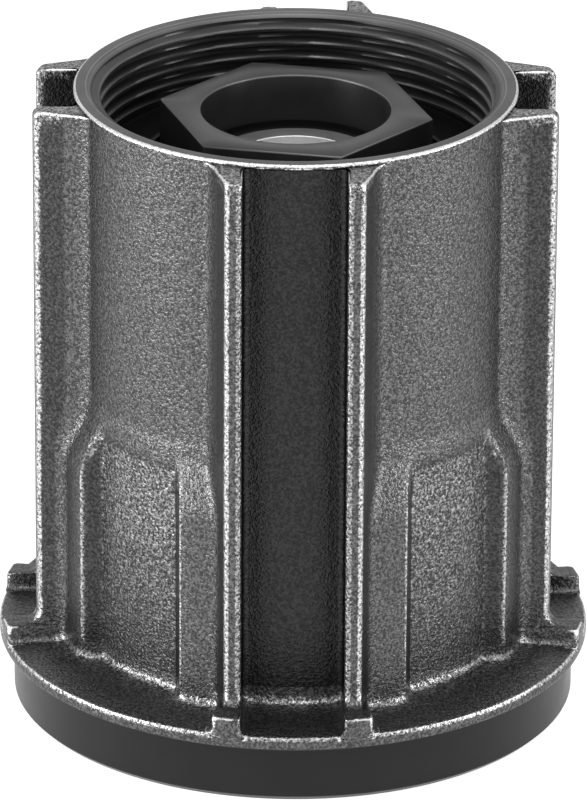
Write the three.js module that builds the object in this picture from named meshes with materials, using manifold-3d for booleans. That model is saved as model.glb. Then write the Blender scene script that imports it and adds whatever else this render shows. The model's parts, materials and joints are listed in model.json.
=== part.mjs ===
import * as THREE from 'three';
import { mergeVertices } from 'three/addons/utils/BufferGeometryUtils.js';
import Module from 'manifold-3d';

// A cassette driver assembly of a bicycle rear hub, in millimetres.
// The axis is Z, Z = 0 is the inboard face of the ratchet ring, and -Y is the front.
// A ribbed cast driver turns on two ball bearings round a hollow axle sleeve.
// Three sprung pawls in its inboard skirt drive the toothed ratchet ring.

const wasm = await Module();
wasm.setup();

// Counts
const BODY_SIDES = 64;
const BORE_SIDES = 48;
const RING_SIDES = 36;
const BEARING_SIDES = 32;
const POCKET_SIDES = 6;
const HEEL_SIDES = 12;
const GROOVE_STEPS = 3;
const ARC_STEPS = 4;
const FILLET_STEPS = 2;
const RIB_PAIRS = 4;
const RATCHET_TEETH = 24;
const PAWLS = 3;
const BALLS = 10;
const BALL_DETAIL = 1;
const NUT_SIDES = 6;

// Clearances and the overrun of every cutting tool
const PRESS_GAP = 0.05;
const RUN_GAP = 0.3;
const OVERRUN = 1;

// Lockring thread and rim
const THREAD_RADIUS = 13.5;
const THREAD_PITCH = 1;
const THREAD_DEPTH = 0.55;
const THREAD_LENGTH = 4.95;
const THREAD_ROOT_SHARE = 0.3;
const RIM_WALL = 1.2;
const RIM_CHAMFER = 0.37;
const RIM_CHAMFER_DEPTH = 0.27;
const MOUTH_DEPTH = 5.35;
const MOUTH_UNDERCUT = 0.4;

// Driver heights
const RING_HEIGHT = 3.85;
const FLANGE_THICKNESS = 0.91;
const SPLINE_HEIGHT = 38.27;

// Driver flange and lugs
const FLANGE_OVERHANG = 2.2;
const FOOT_FILLET = 0.5;
const LUG_HEIGHT = 1.16;
const LUG_WIDTH = 1.9;
const LUG_FLAT = 1.3;
const LUG_FILLET_HEIGHT = 0.9;

// Ribs, grooves and the swollen feet beside them
const RIB_DEPTH = 3;
const RIB_THICKNESS = 1.15;
const RIB_DRAFT = 0.75;
const RIB_FILLET = 0.8;
const RIB_TOP_DROP = 0.3;
const RIB_CORNER = 0.5;
const GROOVE_HALF_WIDTH = 3.4;
const GROOVE_DEPTH = 0.15;
const GROOVE_LIP = 0.5;
const INDEX_RIB_SHIFT = 2.1;
const INDEX_RIB_DROP = 0.9;
const PAD_RISE = 1.35;
const PAD_HEIGHT = 14.35;
const PAD_RAMP = 3.8;

// Arched recesses between the swollen feet, down to the land
const POCKET_HALF_WIDTH = 4;
const POCKET_HEIGHT = 18.7;
const POCKET_CORNER = 3.4;

// Bearings, whose parts add up to the 12 x 24 x 6 mm size
const BEARING_SEAT_STEP = 1.5;
const BALL_RADIUS = 1.5875;
const RACE_GAP = 0.25;
const RACE_WALL = 1.1625;
const LAND_REACH = 0.9;
const CAGE_RIM = 0.3625;
const BEARING_SEAL_THICKNESS = 0.5;
const BEARING_SEAL_INSET = 0.05;
const CAGE_SEAL_GAP = 0.25;

// Bore of the driver and what is held in it
const SKIRT_RISE = 0.4;
const RETAINER_THICKNESS = 1;
const RETAINER_DEPTH = 0.7;
const RETAINER_WIDTH = 1.6;
const RETAINER_GAP_DEG = 44;
const RETAINER_EAR_RADIUS = 1.2;
const RETAINER_EAR_HOLE = 0.5;
const WEB_THICKNESS = 4.4;
const WEB_LAND_STEP = 0.3;
const OUTER_SPACER_WALL = 1.1;
const INNER_SPACER_WALL = 1.5;
const INBOARD_SEAL_THICKNESS = 2;
const INBOARD_SEAL_RISE = 0.8;

// Axle sleeve, washer and end nut
const SLEEVE_WALL = 1.9;
const SLEEVE_LAND_STEP = 0.5;
const SLEEVE_RISE = 0.6;
const SLEEVE_CHAMFER = 0.5;
const WASHER_LAND_STEP = 0.5;
const WASHER_THICKNESS = 0.75;
const NUT_WALL = 1.4;
const NUT_SETBACK = 1.72;
const NUT_POCKET_STEP = 0.28;
const NUT_POCKET_DEPTH = 3.21;
const NUT_RELIEF_STEP = 0.32;
const NUT_RELIEF_WIDTH = 0.6;
const NUT_THREAD_DROP = 0.3;
const NUT_CORNER_DEG = 19;

// Ratchet ring
const RING_SETBACK = 0.96;
const RING_CHAMFER = 0.3;
const RING_WALL = 1.34;
const TOOTH_DEPTH = 1;
const TOOTH_TIP_SHARE = 0.12;
const TOOTH_STEEP_DEG = -24.2;

// Skirt, pawls and their springs; a pawl's angles run clockwise seen from outboard
const SKIRT_GAP = 0.5;
const PAWL_CROWN_GAP = 0.1;
const PAWL_THICKNESS = 1.8;
const PAWL_HEEL_RADIUS = 1.35;
const PAWL_HEEL_DEPTH = 1.55;
const PAWL_DROP = 0.1;
const PAWL_RISE = 1.1;
const PAWL_NOSE_DEG = -25;
const PAWL_NOSE_RAKE_DEG = -1.5;
const PAWL_END_CLEAR_DEG = -1.6;
const PAWL_SPRING_SPACE = 0.9;
const SPRING_THICKNESS = 0.22;
const SPRING_INSET = 0.225;
const SPRING_START_DEG = -8;
const SPRING_END_DEG = -22;
const FIRST_PAWL_DEG = -102;

// Bearing sizes that follow from the sizes above
const grooveRadius = BALL_RADIUS + RACE_GAP;
const cageHalfHeight = grooveRadius + CAGE_RIM;
const bearingWidth =
  2 * (cageHalfHeight + CAGE_SEAL_GAP + BEARING_SEAL_THICKNESS + BEARING_SEAL_INSET);
const bearingOuterRadius = THREAD_RADIUS - BEARING_SEAT_STEP;
const pitchRadius = bearingOuterRadius - RACE_WALL - grooveRadius;
const bearingBoreRadius = pitchRadius - grooveRadius - RACE_WALL;
const innerLandRadius = pitchRadius - LAND_REACH;
const outerLandRadius = pitchRadius + LAND_REACH;
const boreRadius = bearingOuterRadius + PRESS_GAP;

// Heights that follow from the sizes above
const flangeBottom = RING_HEIGHT + RUN_GAP;
const flangeTop = flangeBottom + FLANGE_THICKNESS;
const rimTop = flangeTop + SPLINE_HEIGHT;
const mouthFloor = rimTop - MOUTH_DEPTH;
const webBottom = mouthFloor - WEB_THICKNESS;
const outboardBearingLow = webBottom - PRESS_GAP - bearingWidth;
const retainerLow = flangeBottom + PRESS_GAP;
const inboardBearingLow = retainerLow + RETAINER_THICKNESS + PRESS_GAP;
const spacerLow = inboardBearingLow + bearingWidth + PRESS_GAP;
const spacerHigh = outboardBearingLow - PRESS_GAP;
const washerLow = outboardBearingLow + bearingWidth + PRESS_GAP;
const nutLow = washerLow + WASHER_THICKNESS + PRESS_GAP;
const nutTop = rimTop - NUT_SETBACK;
const nutPocketFloor = nutTop - NUT_POCKET_DEPTH;
const pawlHeight = RING_HEIGHT - PAWL_DROP - PAWL_RISE;
const sleeveTop = nutPocketFloor - NUT_THREAD_DROP;

// Radii that follow from the sizes above
const landRadius = THREAD_RADIUS + RIM_WALL;
const ribRadius = landRadius + RIB_DEPTH;
const flangeRadius = ribRadius + FLANGE_OVERHANG;
const ringRadius = flangeRadius - RING_SETBACK;
const toothRootRadius = ringRadius - RING_WALL;
const toothTipRadius = toothRootRadius - TOOTH_DEPTH;
const skirtRadius = toothTipRadius - SKIRT_GAP;
const padRadius = landRadius + PAD_RISE;
const grooveFloorRadius = landRadius - GROOVE_DEPTH;
const webBoreRadius = outerLandRadius + WEB_LAND_STEP;
const sleeveBoreRadius = bearingBoreRadius - SLEEVE_WALL;
const sleeveShoulderRadius = innerLandRadius - SLEEVE_LAND_STEP;
const washerRadius = innerLandRadius + WASHER_LAND_STEP;
const nutPocketRadius = bearingBoreRadius + NUT_POCKET_STEP;
const nutReliefRadius = nutPocketRadius + NUT_RELIEF_STEP;
const nutHalfAcross = nutReliefRadius + NUT_WALL;
const pawlCrownRadius = skirtRadius - PAWL_CROWN_GAP;
const pawlInnerRadius = pawlCrownRadius - PAWL_THICKNESS;
const pawlHeelRadius = skirtRadius - PAWL_HEEL_DEPTH;

// Colours of the finishes
const CAST_STEEL = { color: 0x55575a, roughness: 0.6, metalness: 0.7 };
const BLACK_STEEL = { color: 0x2b2c2e, roughness: 0.35, metalness: 0.6 };
const NUT_STEEL = { color: 0x3c3d40, roughness: 0.4, metalness: 0.6 };
const BRIGHT_STEEL = { color: 0xb9bcc0, roughness: 0.25, metalness: 0.9 };
const SPRING_STEEL = { color: 0x8d9095, roughness: 0.3, metalness: 0.9 };
const RUBBER = { color: 0x1b1b1c, roughness: 0.8, metalness: 0 };
const POLYMER = { color: 0x6e5a3a, roughness: 0.6, metalness: 0 };

const radians = THREE.MathUtils.degToRad;

// A point in plan at an azimuth counted from the front, -Y, towards +X
function polar(radius, degrees) {
  const angle = radians(degrees);
  return [radius * Math.sin(angle), -radius * Math.cos(angle)];
}

// Points of a plan arc from one azimuth to another
function planArc(radius, fromDeg, toDeg, steps) {
  const points = [];
  for (let i = 0; i <= steps; i += 1) {
    points.push(polar(radius, fromDeg + ((toDeg - fromDeg) * i) / steps));
  }
  return points;
}

// Closed mesh to solid, with only positions kept
function solid(geometry) {
  const bare = geometry.index ? geometry.toNonIndexed() : geometry.clone();
  bare.deleteAttribute('normal');
  bare.deleteAttribute('uv');
  const merged = mergeVertices(bare);
  const vertProperties = new Float32Array(merged.attributes.position.array);
  const triVerts = new Uint32Array(merged.index.array);
  const mesh = new wasm.Mesh({ numProp: 3, vertProperties, triVerts });
  mesh.merge();
  return new wasm.Manifold(mesh);
}

// Solid back to a geometry
function shell(manifold) {
  const { vertProperties, triVerts, numProp } = manifold.getMesh();
  const count = vertProperties.length / numProp;
  const positions = new Float32Array(count * 3);
  for (let i = 0; i < count; i += 1) {
    for (let k = 0; k < 3; k += 1) {
      positions[i * 3 + k] = vertProperties[i * numProp + k];
    }
  }
  const geometry = new THREE.BufferGeometry();
  geometry.setAttribute('position', new THREE.BufferAttribute(positions, 3));
  geometry.setIndex(new THREE.BufferAttribute(new Uint32Array(triVerts), 1));
  geometry.computeVertexNormals();
  return geometry;
}

// Turned shape from [radius, height] points of a closed outline, listed anticlockwise
function turned(outline, sides) {
  const points = outline.map(([radius, height]) => new THREE.Vector2(radius, height));
  points.push(points[0].clone());
  return new THREE.LatheGeometry(points, sides).rotateX(Math.PI / 2);
}

// Tube between two radii and two heights
function tube(innerRadius, outerRadius, low, high, sides = RING_SIDES) {
  const outline = [
    [innerRadius, low],
    [outerRadius, low],
    [outerRadius, high],
    [innerRadius, high],
  ];
  return turned(outline, sides);
}

// Disc round the axis, used as a cutting tool or an envelope
function disc(radius, low, high, sides) {
  const points = [
    new THREE.Vector2(0, low),
    new THREE.Vector2(radius, low),
    new THREE.Vector2(radius, high),
    new THREE.Vector2(0, high),
  ];
  return new THREE.LatheGeometry(points, sides).rotateX(Math.PI / 2);
}

// Straight prism of a plan outline between two heights
function prism(outline, low, high) {
  const shape = new THREE.Shape(outline.map(([x, y]) => new THREE.Vector2(x, y)));
  const geometry = new THREE.ExtrudeGeometry(shape, {
    depth: high - low,
    bevelEnabled: false,
  });
  return geometry.translate(0, 0, low);
}

// Outline of the cast driver as if it had no ribs, from the axis out and back
function driverEnvelope() {
  const padTop = flangeTop + PAD_HEIGHT;
  return new THREE.LatheGeometry(
    [
      [0, SKIRT_RISE],
      [skirtRadius, SKIRT_RISE],
      [skirtRadius, flangeBottom],
      [flangeRadius, flangeBottom],
      [flangeRadius, flangeTop],
      [padRadius + FOOT_FILLET, flangeTop],
      [padRadius, flangeTop + FOOT_FILLET],
      [padRadius, padTop],
      [landRadius, padTop + PAD_RAMP],
      [landRadius, rimTop],
      [0, rimTop],
    ].map(([radius, height]) => new THREE.Vector2(radius, height)),
    BODY_SIDES,
  ).rotateX(Math.PI / 2);
}

// Everything inside the driver that is bored away
function driverBore() {
  const crest = THREAD_RADIUS - THREAD_DEPTH;
  const chamferEnd = rimTop - RIM_CHAMFER_DEPTH;
  const grooveHigh = inboardBearingLow;
  return new THREE.LatheGeometry(
    [
      [0, SKIRT_RISE - OVERRUN],
      [boreRadius, SKIRT_RISE - OVERRUN],
      [boreRadius, flangeBottom],
      [boreRadius + RETAINER_DEPTH, flangeBottom],
      [boreRadius + RETAINER_DEPTH, grooveHigh],
      [boreRadius, grooveHigh],
      [boreRadius, webBottom],
      [webBoreRadius, webBottom],
      [webBoreRadius, mouthFloor],
      [THREAD_RADIUS - MOUTH_UNDERCUT, mouthFloor],
      [THREAD_RADIUS - MOUTH_UNDERCUT, rimTop - THREAD_LENGTH],
      [crest, rimTop - THREAD_LENGTH],
      [crest, chamferEnd - THREAD_DEPTH],
      [THREAD_RADIUS, chamferEnd],
      [THREAD_RADIUS + RIM_CHAMFER, rimTop],
      [THREAD_RADIUS + RIM_CHAMFER, rimTop + OVERRUN],
      [0, rimTop + OVERRUN],
    ].map(([radius, height]) => new THREE.Vector2(radius, height)),
    BORE_SIDES,
  ).rotateX(Math.PI / 2);
}

// Helical tool that cuts the lockring thread, one section for each side of the mouth
function threadTool() {
  const crest = THREAD_RADIUS - THREAD_DEPTH;
  const backRadius = crest - THREAD_DEPTH;
  const halfMouth = THREAD_PITCH / 2 - PRESS_GAP;
  const halfRoot = halfMouth * THREAD_ROOT_SHARE;
  const slope = (halfMouth - halfRoot) / THREAD_DEPTH;
  const halfBack = halfMouth + slope * THREAD_DEPTH;
  const section = [
    [backRadius, -halfBack],
    [THREAD_RADIUS, -halfRoot],
    [THREAD_RADIUS, halfRoot],
    [backRadius, halfBack],
  ];
  const turns = (THREAD_LENGTH - THREAD_DEPTH) / THREAD_PITCH;
  const stations = Math.round(turns * BORE_SIDES);
  const start = rimTop - THREAD_LENGTH + halfMouth;
  const positions = [];
  const indices = [];
  for (let i = 0; i <= stations; i += 1) {
    const angle = (2 * Math.PI * i) / BORE_SIDES;
    const height = start + (THREAD_PITCH * i) / BORE_SIDES;
    for (const [radius, offset] of section) {
      positions.push(radius * Math.cos(angle), radius * Math.sin(angle), height + offset);
    }
  }
  const sides = section.length;
  for (let i = 0; i < stations; i += 1) {
    for (let k = 0; k < sides; k += 1) {
      const a = i * sides + k;
      const b = i * sides + ((k + 1) % sides);
      indices.push(a, b + sides, b, a, a + sides, b + sides);
    }
  }
  const last = stations * sides;
  for (let k = 1; k < sides - 1; k += 1) {
    indices.push(0, k, k + 1);
    indices.push(last, last + k + 1, last + k);
  }
  const geometry = new THREE.BufferGeometry();
  geometry.setAttribute('position', new THREE.Float32BufferAttribute(positions, 3));
  geometry.setIndex(indices);
  return geometry;
}

// Plan outline of one rib, in the frame of its pair: across, outwards
function ribOutline(side, shift) {
  const inner = GROOVE_HALF_WIDTH - shift;
  const outer = inner + RIB_THICKNESS;
  const rootHeight = Math.sqrt(landRadius ** 2 - (outer + RIB_DRAFT) ** 2);
  const buried = rootHeight - RIM_WALL;
  const points = [
    [inner, buried],
    [inner, ribRadius + OVERRUN],
    [outer, ribRadius + OVERRUN],
    [outer, Math.sqrt(ribRadius ** 2 - outer ** 2)],
    [outer + RIB_DRAFT, rootHeight + RIB_FILLET],
    [outer + RIB_DRAFT + RIB_FILLET, rootHeight - RIB_FILLET / 2],
    [outer + RIB_DRAFT, buried],
  ];
  return points.map(([across, out]) => [side * across, -out]);
}

// Cylinder that the ribs are trimmed to, with their rounded top corner
function ribEnvelope(drop) {
  const top = rimTop - drop;
  const points = [
    new THREE.Vector2(0, flangeBottom),
    new THREE.Vector2(flangeRadius, flangeBottom),
    new THREE.Vector2(ribRadius, flangeTop),
  ];
  for (let i = 0; i <= ARC_STEPS; i += 1) {
    const angle = (Math.PI / 2) * (i / ARC_STEPS);
    points.push(
      new THREE.Vector2(
        ribRadius - RIB_CORNER + RIB_CORNER * Math.cos(angle),
        top - RIB_CORNER + RIB_CORNER * Math.sin(angle),
      ),
    );
  }
  points.push(new THREE.Vector2(0, top));
  return new THREE.LatheGeometry(points, BODY_SIDES).rotateX(Math.PI / 2);
}

// One rib with its lug, turned to its pair's place
function rib(pair, side, isIndex) {
  const shift = isIndex ? INDEX_RIB_SHIFT : 0;
  const drop = isIndex ? INDEX_RIB_DROP : RIB_TOP_DROP;
  const blade = solid(prism(ribOutline(side, shift), flangeTop - FOOT_FILLET, rimTop))
    .intersect(solid(ribEnvelope(drop)));
  const inner = GROOVE_HALF_WIDTH - shift;
  const lugOutline = [
    [side * inner, -landRadius],
    [side * inner, -flangeRadius],
    [side * (inner + LUG_WIDTH), -flangeRadius],
    [side * (inner + RIB_THICKNESS), -landRadius],
  ];
  const lug = solid(prism(lugOutline, flangeTop - FOOT_FILLET, flangeTop + LUG_HEIGHT))
    .intersect(solid(disc(flangeRadius, flangeBottom, rimTop, BODY_SIDES)));
  const turn = (360 / RIB_PAIRS) * pair;
  return blade.add(lug).add(lugFillet(side, inner)).rotate([0, 0, turn]);
}

// Concave foot that runs from the lug's flat top up to the rib's outer face
function lugFillet(side, inner) {
  const faceOut = Math.sqrt(ribRadius ** 2 - inner ** 2);
  const flatEnd = flangeRadius - LUG_FLAT;
  const run = flatEnd - faceOut;
  const top = flangeTop + LUG_HEIGHT;
  const points = [new THREE.Vector2(faceOut - RIB_THICKNESS, top - FOOT_FILLET)];
  points.push(new THREE.Vector2(flatEnd, top - FOOT_FILLET));
  for (let i = 0; i <= FILLET_STEPS; i += 1) {
    const angle = (Math.PI / 2) * (i / FILLET_STEPS);
    points.push(
      new THREE.Vector2(
        flatEnd - run * Math.sin(angle),
        top + LUG_FILLET_HEIGHT * (1 - Math.cos(angle)),
      ),
    );
  }
  points.push(new THREE.Vector2(faceOut - RIB_THICKNESS, top + LUG_FILLET_HEIGHT));
  const geometry = new THREE.ExtrudeGeometry(new THREE.Shape(points), {
    depth: RIB_THICKNESS,
    bevelEnabled: false,
  });
  geometry.rotateX(Math.PI / 2).rotateZ(-Math.PI / 2);
  const start = side > 0 ? inner + RIB_THICKNESS : -inner;
  return solid(geometry.translate(start, 0, 0));
}

// Slot between the two ribs of a pair, down to the groove floor
function grooveTool(pair) {
  const outline = [
    [-GROOVE_HALF_WIDTH, -landRadius / 2],
    [-GROOVE_HALF_WIDTH, -flangeRadius],
    [GROOVE_HALF_WIDTH, -flangeRadius],
    [GROOVE_HALF_WIDTH, -landRadius / 2],
  ];
  const floor = [
    [0, flangeBottom],
    [grooveFloorRadius + FOOT_FILLET, flangeBottom],
    [grooveFloorRadius + FOOT_FILLET, flangeTop],
    [grooveFloorRadius, flangeTop + FOOT_FILLET],
    [grooveFloorRadius, rimTop],
    [0, rimTop],
  ];
  const floorPoints = floor.map(([radius, height]) => new THREE.Vector2(radius, height));
  const core = new THREE.LatheGeometry(floorPoints, BODY_SIDES).rotateX(Math.PI / 2);
  return solid(prism(outline, flangeTop, rimTop - GROOVE_LIP))
    .subtract(solid(core))
    .rotate([0, 0, (360 / RIB_PAIRS) * pair]);
}

// Arched recess between two swollen feet
function pocketTool(pair) {
  const shape = new THREE.Shape();
  const low = flangeTop;
  const high = flangeTop + POCKET_HEIGHT;
  const half = POCKET_HALF_WIDTH;
  shape.moveTo(-half, low);
  shape.lineTo(half, low);
  shape.lineTo(half, high - POCKET_CORNER);
  shape.absarc(half - POCKET_CORNER, high - POCKET_CORNER, POCKET_CORNER, 0, Math.PI / 2);
  shape.lineTo(POCKET_CORNER - half, high);
  shape.absarc(
    POCKET_CORNER - half,
    high - POCKET_CORNER,
    POCKET_CORNER,
    Math.PI / 2,
    Math.PI,
  );
  const geometry = new THREE.ExtrudeGeometry(shape, {
    depth: flangeRadius - pitchRadius,
    bevelEnabled: false,
    curveSegments: ARC_STEPS,
  });
  geometry.rotateX(Math.PI / 2).translate(0, -pitchRadius, 0);
  const core = new THREE.LatheGeometry(
    [
      new THREE.Vector2(0, flangeBottom),
      new THREE.Vector2(landRadius + FOOT_FILLET, flangeBottom),
      new THREE.Vector2(landRadius + FOOT_FILLET, flangeTop),
      new THREE.Vector2(landRadius, flangeTop + FOOT_FILLET),
      new THREE.Vector2(landRadius, rimTop),
      new THREE.Vector2(0, rimTop),
    ],
    BODY_SIDES,
  ).rotateX(Math.PI / 2);
  const turn = (360 / RIB_PAIRS) * (pair + 1 / 2);
  return solid(geometry).rotate([0, 0, turn]).subtract(solid(core));
}

// Recess in the skirt for a pawl, its heel socket and the spring under it
function pawlRecess() {
  const low = PAWL_RISE - RUN_GAP;
  const high = PAWL_RISE + pawlHeight + RUN_GAP;
  const floor = pawlInnerRadius - PAWL_SPRING_SPACE;
  const endDeg = PAWL_NOSE_DEG + PAWL_END_CLEAR_DEG;
  const outline = [
    ...planArc(floor, 0, endDeg, ARC_STEPS),
    ...planArc(skirtRadius + OVERRUN, endDeg, 0, ARC_STEPS),
  ];
  const [x, y] = polar(pawlHeelRadius, 0);
  const socket = new THREE.CylinderGeometry(
    PAWL_HEEL_RADIUS + RUN_GAP,
    PAWL_HEEL_RADIUS + RUN_GAP,
    high - low,
    HEEL_SIDES,
  );
  socket.rotateX(Math.PI / 2).translate(x, y, (low + high) / 2);
  return solid(prism(outline, low, high)).add(solid(socket));
}

// Spacing of the pawls round the skirt
function pawlTurn(index) {
  return FIRST_PAWL_DEG + (360 / PAWLS) * index;
}

// The ribbed driver: core, ribs and lugs, less grooves, pockets, bore, thread and recesses
function driverBody() {
  let body = solid(driverEnvelope());
  for (let pair = 0; pair < RIB_PAIRS; pair += 1) {
    const back = pair === RIB_PAIRS / 2;
    body = body.subtract(grooveTool(pair)).subtract(pocketTool(pair));
    body = body.add(rib(pair, 1, back)).add(rib(pair, -1, false));
  }
  body = body.subtract(solid(driverBore())).subtract(solid(threadTool()));
  for (let i = 0; i < PAWLS; i += 1) {
    body = body.subtract(pawlRecess().rotate([0, 0, pawlTurn(i)]));
  }
  return shell(body);
}

// Ratchet ring with saw teeth inside and a chamfered inboard edge
function ratchetRing() {
  const outline = [
    [0, 0],
    [ringRadius - RING_CHAMFER, 0],
    [ringRadius, RING_CHAMFER],
    [ringRadius, RING_HEIGHT],
    [0, RING_HEIGHT],
  ];
  const blank = new THREE.LatheGeometry(
    outline.map(([radius, height]) => new THREE.Vector2(radius, height)),
    BODY_SIDES,
  ).rotateX(Math.PI / 2);
  const pitch = 360 / RATCHET_TEETH;
  const teeth = [];
  for (let i = 0; i < RATCHET_TEETH; i += 1) {
    const steep = FIRST_PAWL_DEG + TOOTH_STEEP_DEG - pitch * i;
    teeth.push(polar(toothRootRadius, steep));
    teeth.push(polar(toothTipRadius, steep));
    teeth.push(polar(toothTipRadius, steep - pitch * TOOTH_TIP_SHARE));
  }
  return shell(solid(blank).subtract(solid(prism(teeth, -OVERRUN, RING_HEIGHT + OVERRUN))));
}

// One pawl, folded in, in its own place round the skirt
function pawl(index) {
  const noseDeg = PAWL_NOSE_DEG;
  const outline = [
    ...planArc(pawlCrownRadius, 0, noseDeg, ARC_STEPS),
    ...planArc(pawlInnerRadius, noseDeg - PAWL_NOSE_RAKE_DEG, 0, ARC_STEPS),
  ];
  const high = PAWL_RISE + pawlHeight;
  const [x, y] = polar(pawlHeelRadius, 0);
  const heel = new THREE.CylinderGeometry(
    PAWL_HEEL_RADIUS,
    PAWL_HEEL_RADIUS,
    pawlHeight,
    HEEL_SIDES,
  );
  heel.rotateX(Math.PI / 2).translate(x, y, PAWL_RISE + pawlHeight / 2);
  const lever = solid(prism(outline, PAWL_RISE, high)).add(solid(heel));
  return shell(lever.rotate([0, 0, pawlTurn(index)]));
}

// Leaf spring that lies under a pawl and rises towards its nose
function pawlSpring(index) {
  const floor = pawlInnerRadius - PAWL_SPRING_SPACE;
  const startRadius = floor + PRESS_GAP;
  const endRadius = pawlInnerRadius - SPRING_THICKNESS - RUN_GAP / 2;
  const lower = [];
  const upper = [];
  for (let i = 0; i <= ARC_STEPS; i += 1) {
    const share = i / ARC_STEPS;
    const degrees = SPRING_START_DEG + (SPRING_END_DEG - SPRING_START_DEG) * share;
    const radius = startRadius + (endRadius - startRadius) * share;
    lower.push(polar(radius, degrees));
    upper.unshift(polar(radius + SPRING_THICKNESS, degrees));
  }
  const low = PAWL_RISE + SPRING_INSET;
  const high = PAWL_RISE + pawlHeight - SPRING_INSET;
  const leaf = solid(prism([...lower, ...upper], low, high));
  return shell(leaf.rotate([0, 0, pawlTurn(index)]));
}

// Open retaining ring with two ears for pliers
function retainingRing() {
  const outer = boreRadius + RETAINER_DEPTH - PRESS_GAP;
  const inner = outer - RETAINER_WIDTH;
  const half = RETAINER_GAP_DEG / 2;
  const outline = [
    ...planArc(outer, half, 360 - half, RING_SIDES),
    ...planArc(inner, 360 - half, half, RING_SIDES),
  ];
  const high = retainerLow + RETAINER_THICKNESS;
  let ring = solid(prism(outline, retainerLow, high));
  for (const degrees of [half, 360 - half]) {
    const [x, y] = polar(inner, degrees);
    const middle = (retainerLow + high) / 2;
    const ear = new THREE.CylinderGeometry(
      RETAINER_EAR_RADIUS,
      RETAINER_EAR_RADIUS,
      RETAINER_THICKNESS,
      HEEL_SIDES,
    );
    const hole = new THREE.CylinderGeometry(
      RETAINER_EAR_HOLE,
      RETAINER_EAR_HOLE,
      RETAINER_THICKNESS + OVERRUN,
      HEEL_SIDES,
    );
    ring = ring
      .add(solid(ear.rotateX(Math.PI / 2).translate(x, y, middle)))
      .subtract(solid(hole.rotateX(Math.PI / 2).translate(x, y, middle)));
  }
  return shell(ring);
}

// Half round ball groove, as [radius, height] points from low to high
function raceGroove(landRadiusHere, middle, outwards) {
  const reach = Math.abs(landRadiusHere - pitchRadius);
  const span = Math.acos(reach / grooveRadius);
  const points = [];
  for (let i = 0; i <= GROOVE_STEPS; i += 1) {
    const angle = -span + (2 * span * i) / GROOVE_STEPS;
    points.push([
      pitchRadius + outwards * grooveRadius * Math.cos(angle),
      middle + grooveRadius * Math.sin(angle),
    ]);
  }
  return points;
}

// Outer ring of a ball bearing
function bearingOuterRing(low) {
  const middle = low + bearingWidth / 2;
  return turned(
    [
      [outerLandRadius, low],
      [bearingOuterRadius, low],
      [bearingOuterRadius, low + bearingWidth],
      [outerLandRadius, low + bearingWidth],
      ...raceGroove(outerLandRadius, middle, 1).reverse(),
    ],
    BEARING_SIDES,
  );
}

// Inner ring of a ball bearing
function bearingInnerRing(low) {
  const middle = low + bearingWidth / 2;
  const bore = bearingBoreRadius + PRESS_GAP;
  return turned(
    [
      [bore, low],
      [innerLandRadius, low],
      ...raceGroove(innerLandRadius, middle, -1),
      [innerLandRadius, low + bearingWidth],
      [bore, low + bearingWidth],
    ],
    BEARING_SIDES,
  );
}

// Cage ring with a round pocket for each ball
function bearingCage(low) {
  const middle = low + bearingWidth / 2;
  const inner = innerLandRadius + RUN_GAP;
  const outer = outerLandRadius - RUN_GAP;
  let cage = solid(
    tube(inner, outer, middle - cageHalfHeight, middle + cageHalfHeight, BALLS * 4),
  );
  for (let i = 0; i < BALLS; i += 1) {
    const pocket = new THREE.CylinderGeometry(
      grooveRadius,
      grooveRadius,
      outer - inner + OVERRUN,
      POCKET_SIDES,
    );
    pocket.rotateZ(Math.PI / 2).translate(pitchRadius, 0, middle);
    cage = cage.subtract(solid(pocket).rotate([0, 0, (360 / BALLS) * i]));
  }
  return shell(cage);
}

// Thin seal between the two rings of a bearing, fixed in the outer one
function bearingSeal(low) {
  return tube(
    innerLandRadius + RUN_GAP,
    outerLandRadius - PRESS_GAP,
    low,
    low + BEARING_SEAL_THICKNESS,
    BEARING_SIDES,
  );
}

// Hollow axle sleeve with the shoulder that the inboard bearing seats on
function axleSleeve() {
  const shoulderTop = inboardBearingLow - PRESS_GAP;
  return turned(
    [
      [sleeveBoreRadius, SLEEVE_RISE],
      [sleeveShoulderRadius - SLEEVE_CHAMFER, SLEEVE_RISE],
      [sleeveShoulderRadius, SLEEVE_RISE + SLEEVE_CHAMFER],
      [sleeveShoulderRadius, shoulderTop],
      [bearingBoreRadius, shoulderTop],
      [bearingBoreRadius, sleeveTop - SLEEVE_CHAMFER],
      [bearingBoreRadius - SLEEVE_CHAMFER, sleeveTop],
      [sleeveBoreRadius, sleeveTop],
    ],
    RING_SIDES,
  );
}

// Hexagonal end nut, counterbored over the end of the sleeve
function endNut() {
  const cornerRadius = nutHalfAcross / Math.cos(Math.PI / NUT_SIDES);
  const outline = [];
  for (let i = 0; i < NUT_SIDES; i += 1) {
    outline.push(polar(cornerRadius, NUT_CORNER_DEG + (360 / NUT_SIDES) * i));
  }
  const bore = bearingBoreRadius + PRESS_GAP;
  const relief = nutPocketFloor - NUT_RELIEF_WIDTH;
  const tool = new THREE.LatheGeometry(
    [
      [0, nutLow - OVERRUN],
      [bore, nutLow - OVERRUN],
      [bore, relief],
      [nutReliefRadius, relief],
      [nutReliefRadius, nutPocketFloor],
      [nutPocketRadius, nutPocketFloor],
      [nutPocketRadius, nutTop + OVERRUN],
      [0, nutTop + OVERRUN],
    ].map(([radius, height]) => new THREE.Vector2(radius, height)),
    RING_SIDES,
  ).rotateX(Math.PI / 2);
  return shell(solid(prism(outline, nutLow, nutTop)).subtract(solid(tool)));
}

const group = new THREE.Group();

// Adds one named piece with its own finish
function add(name, geometry, finish) {
  const mesh = new THREE.Mesh(geometry, new THREE.MeshStandardMaterial(finish));
  mesh.name = name;
  group.add(mesh);
  return mesh;
}

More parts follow.
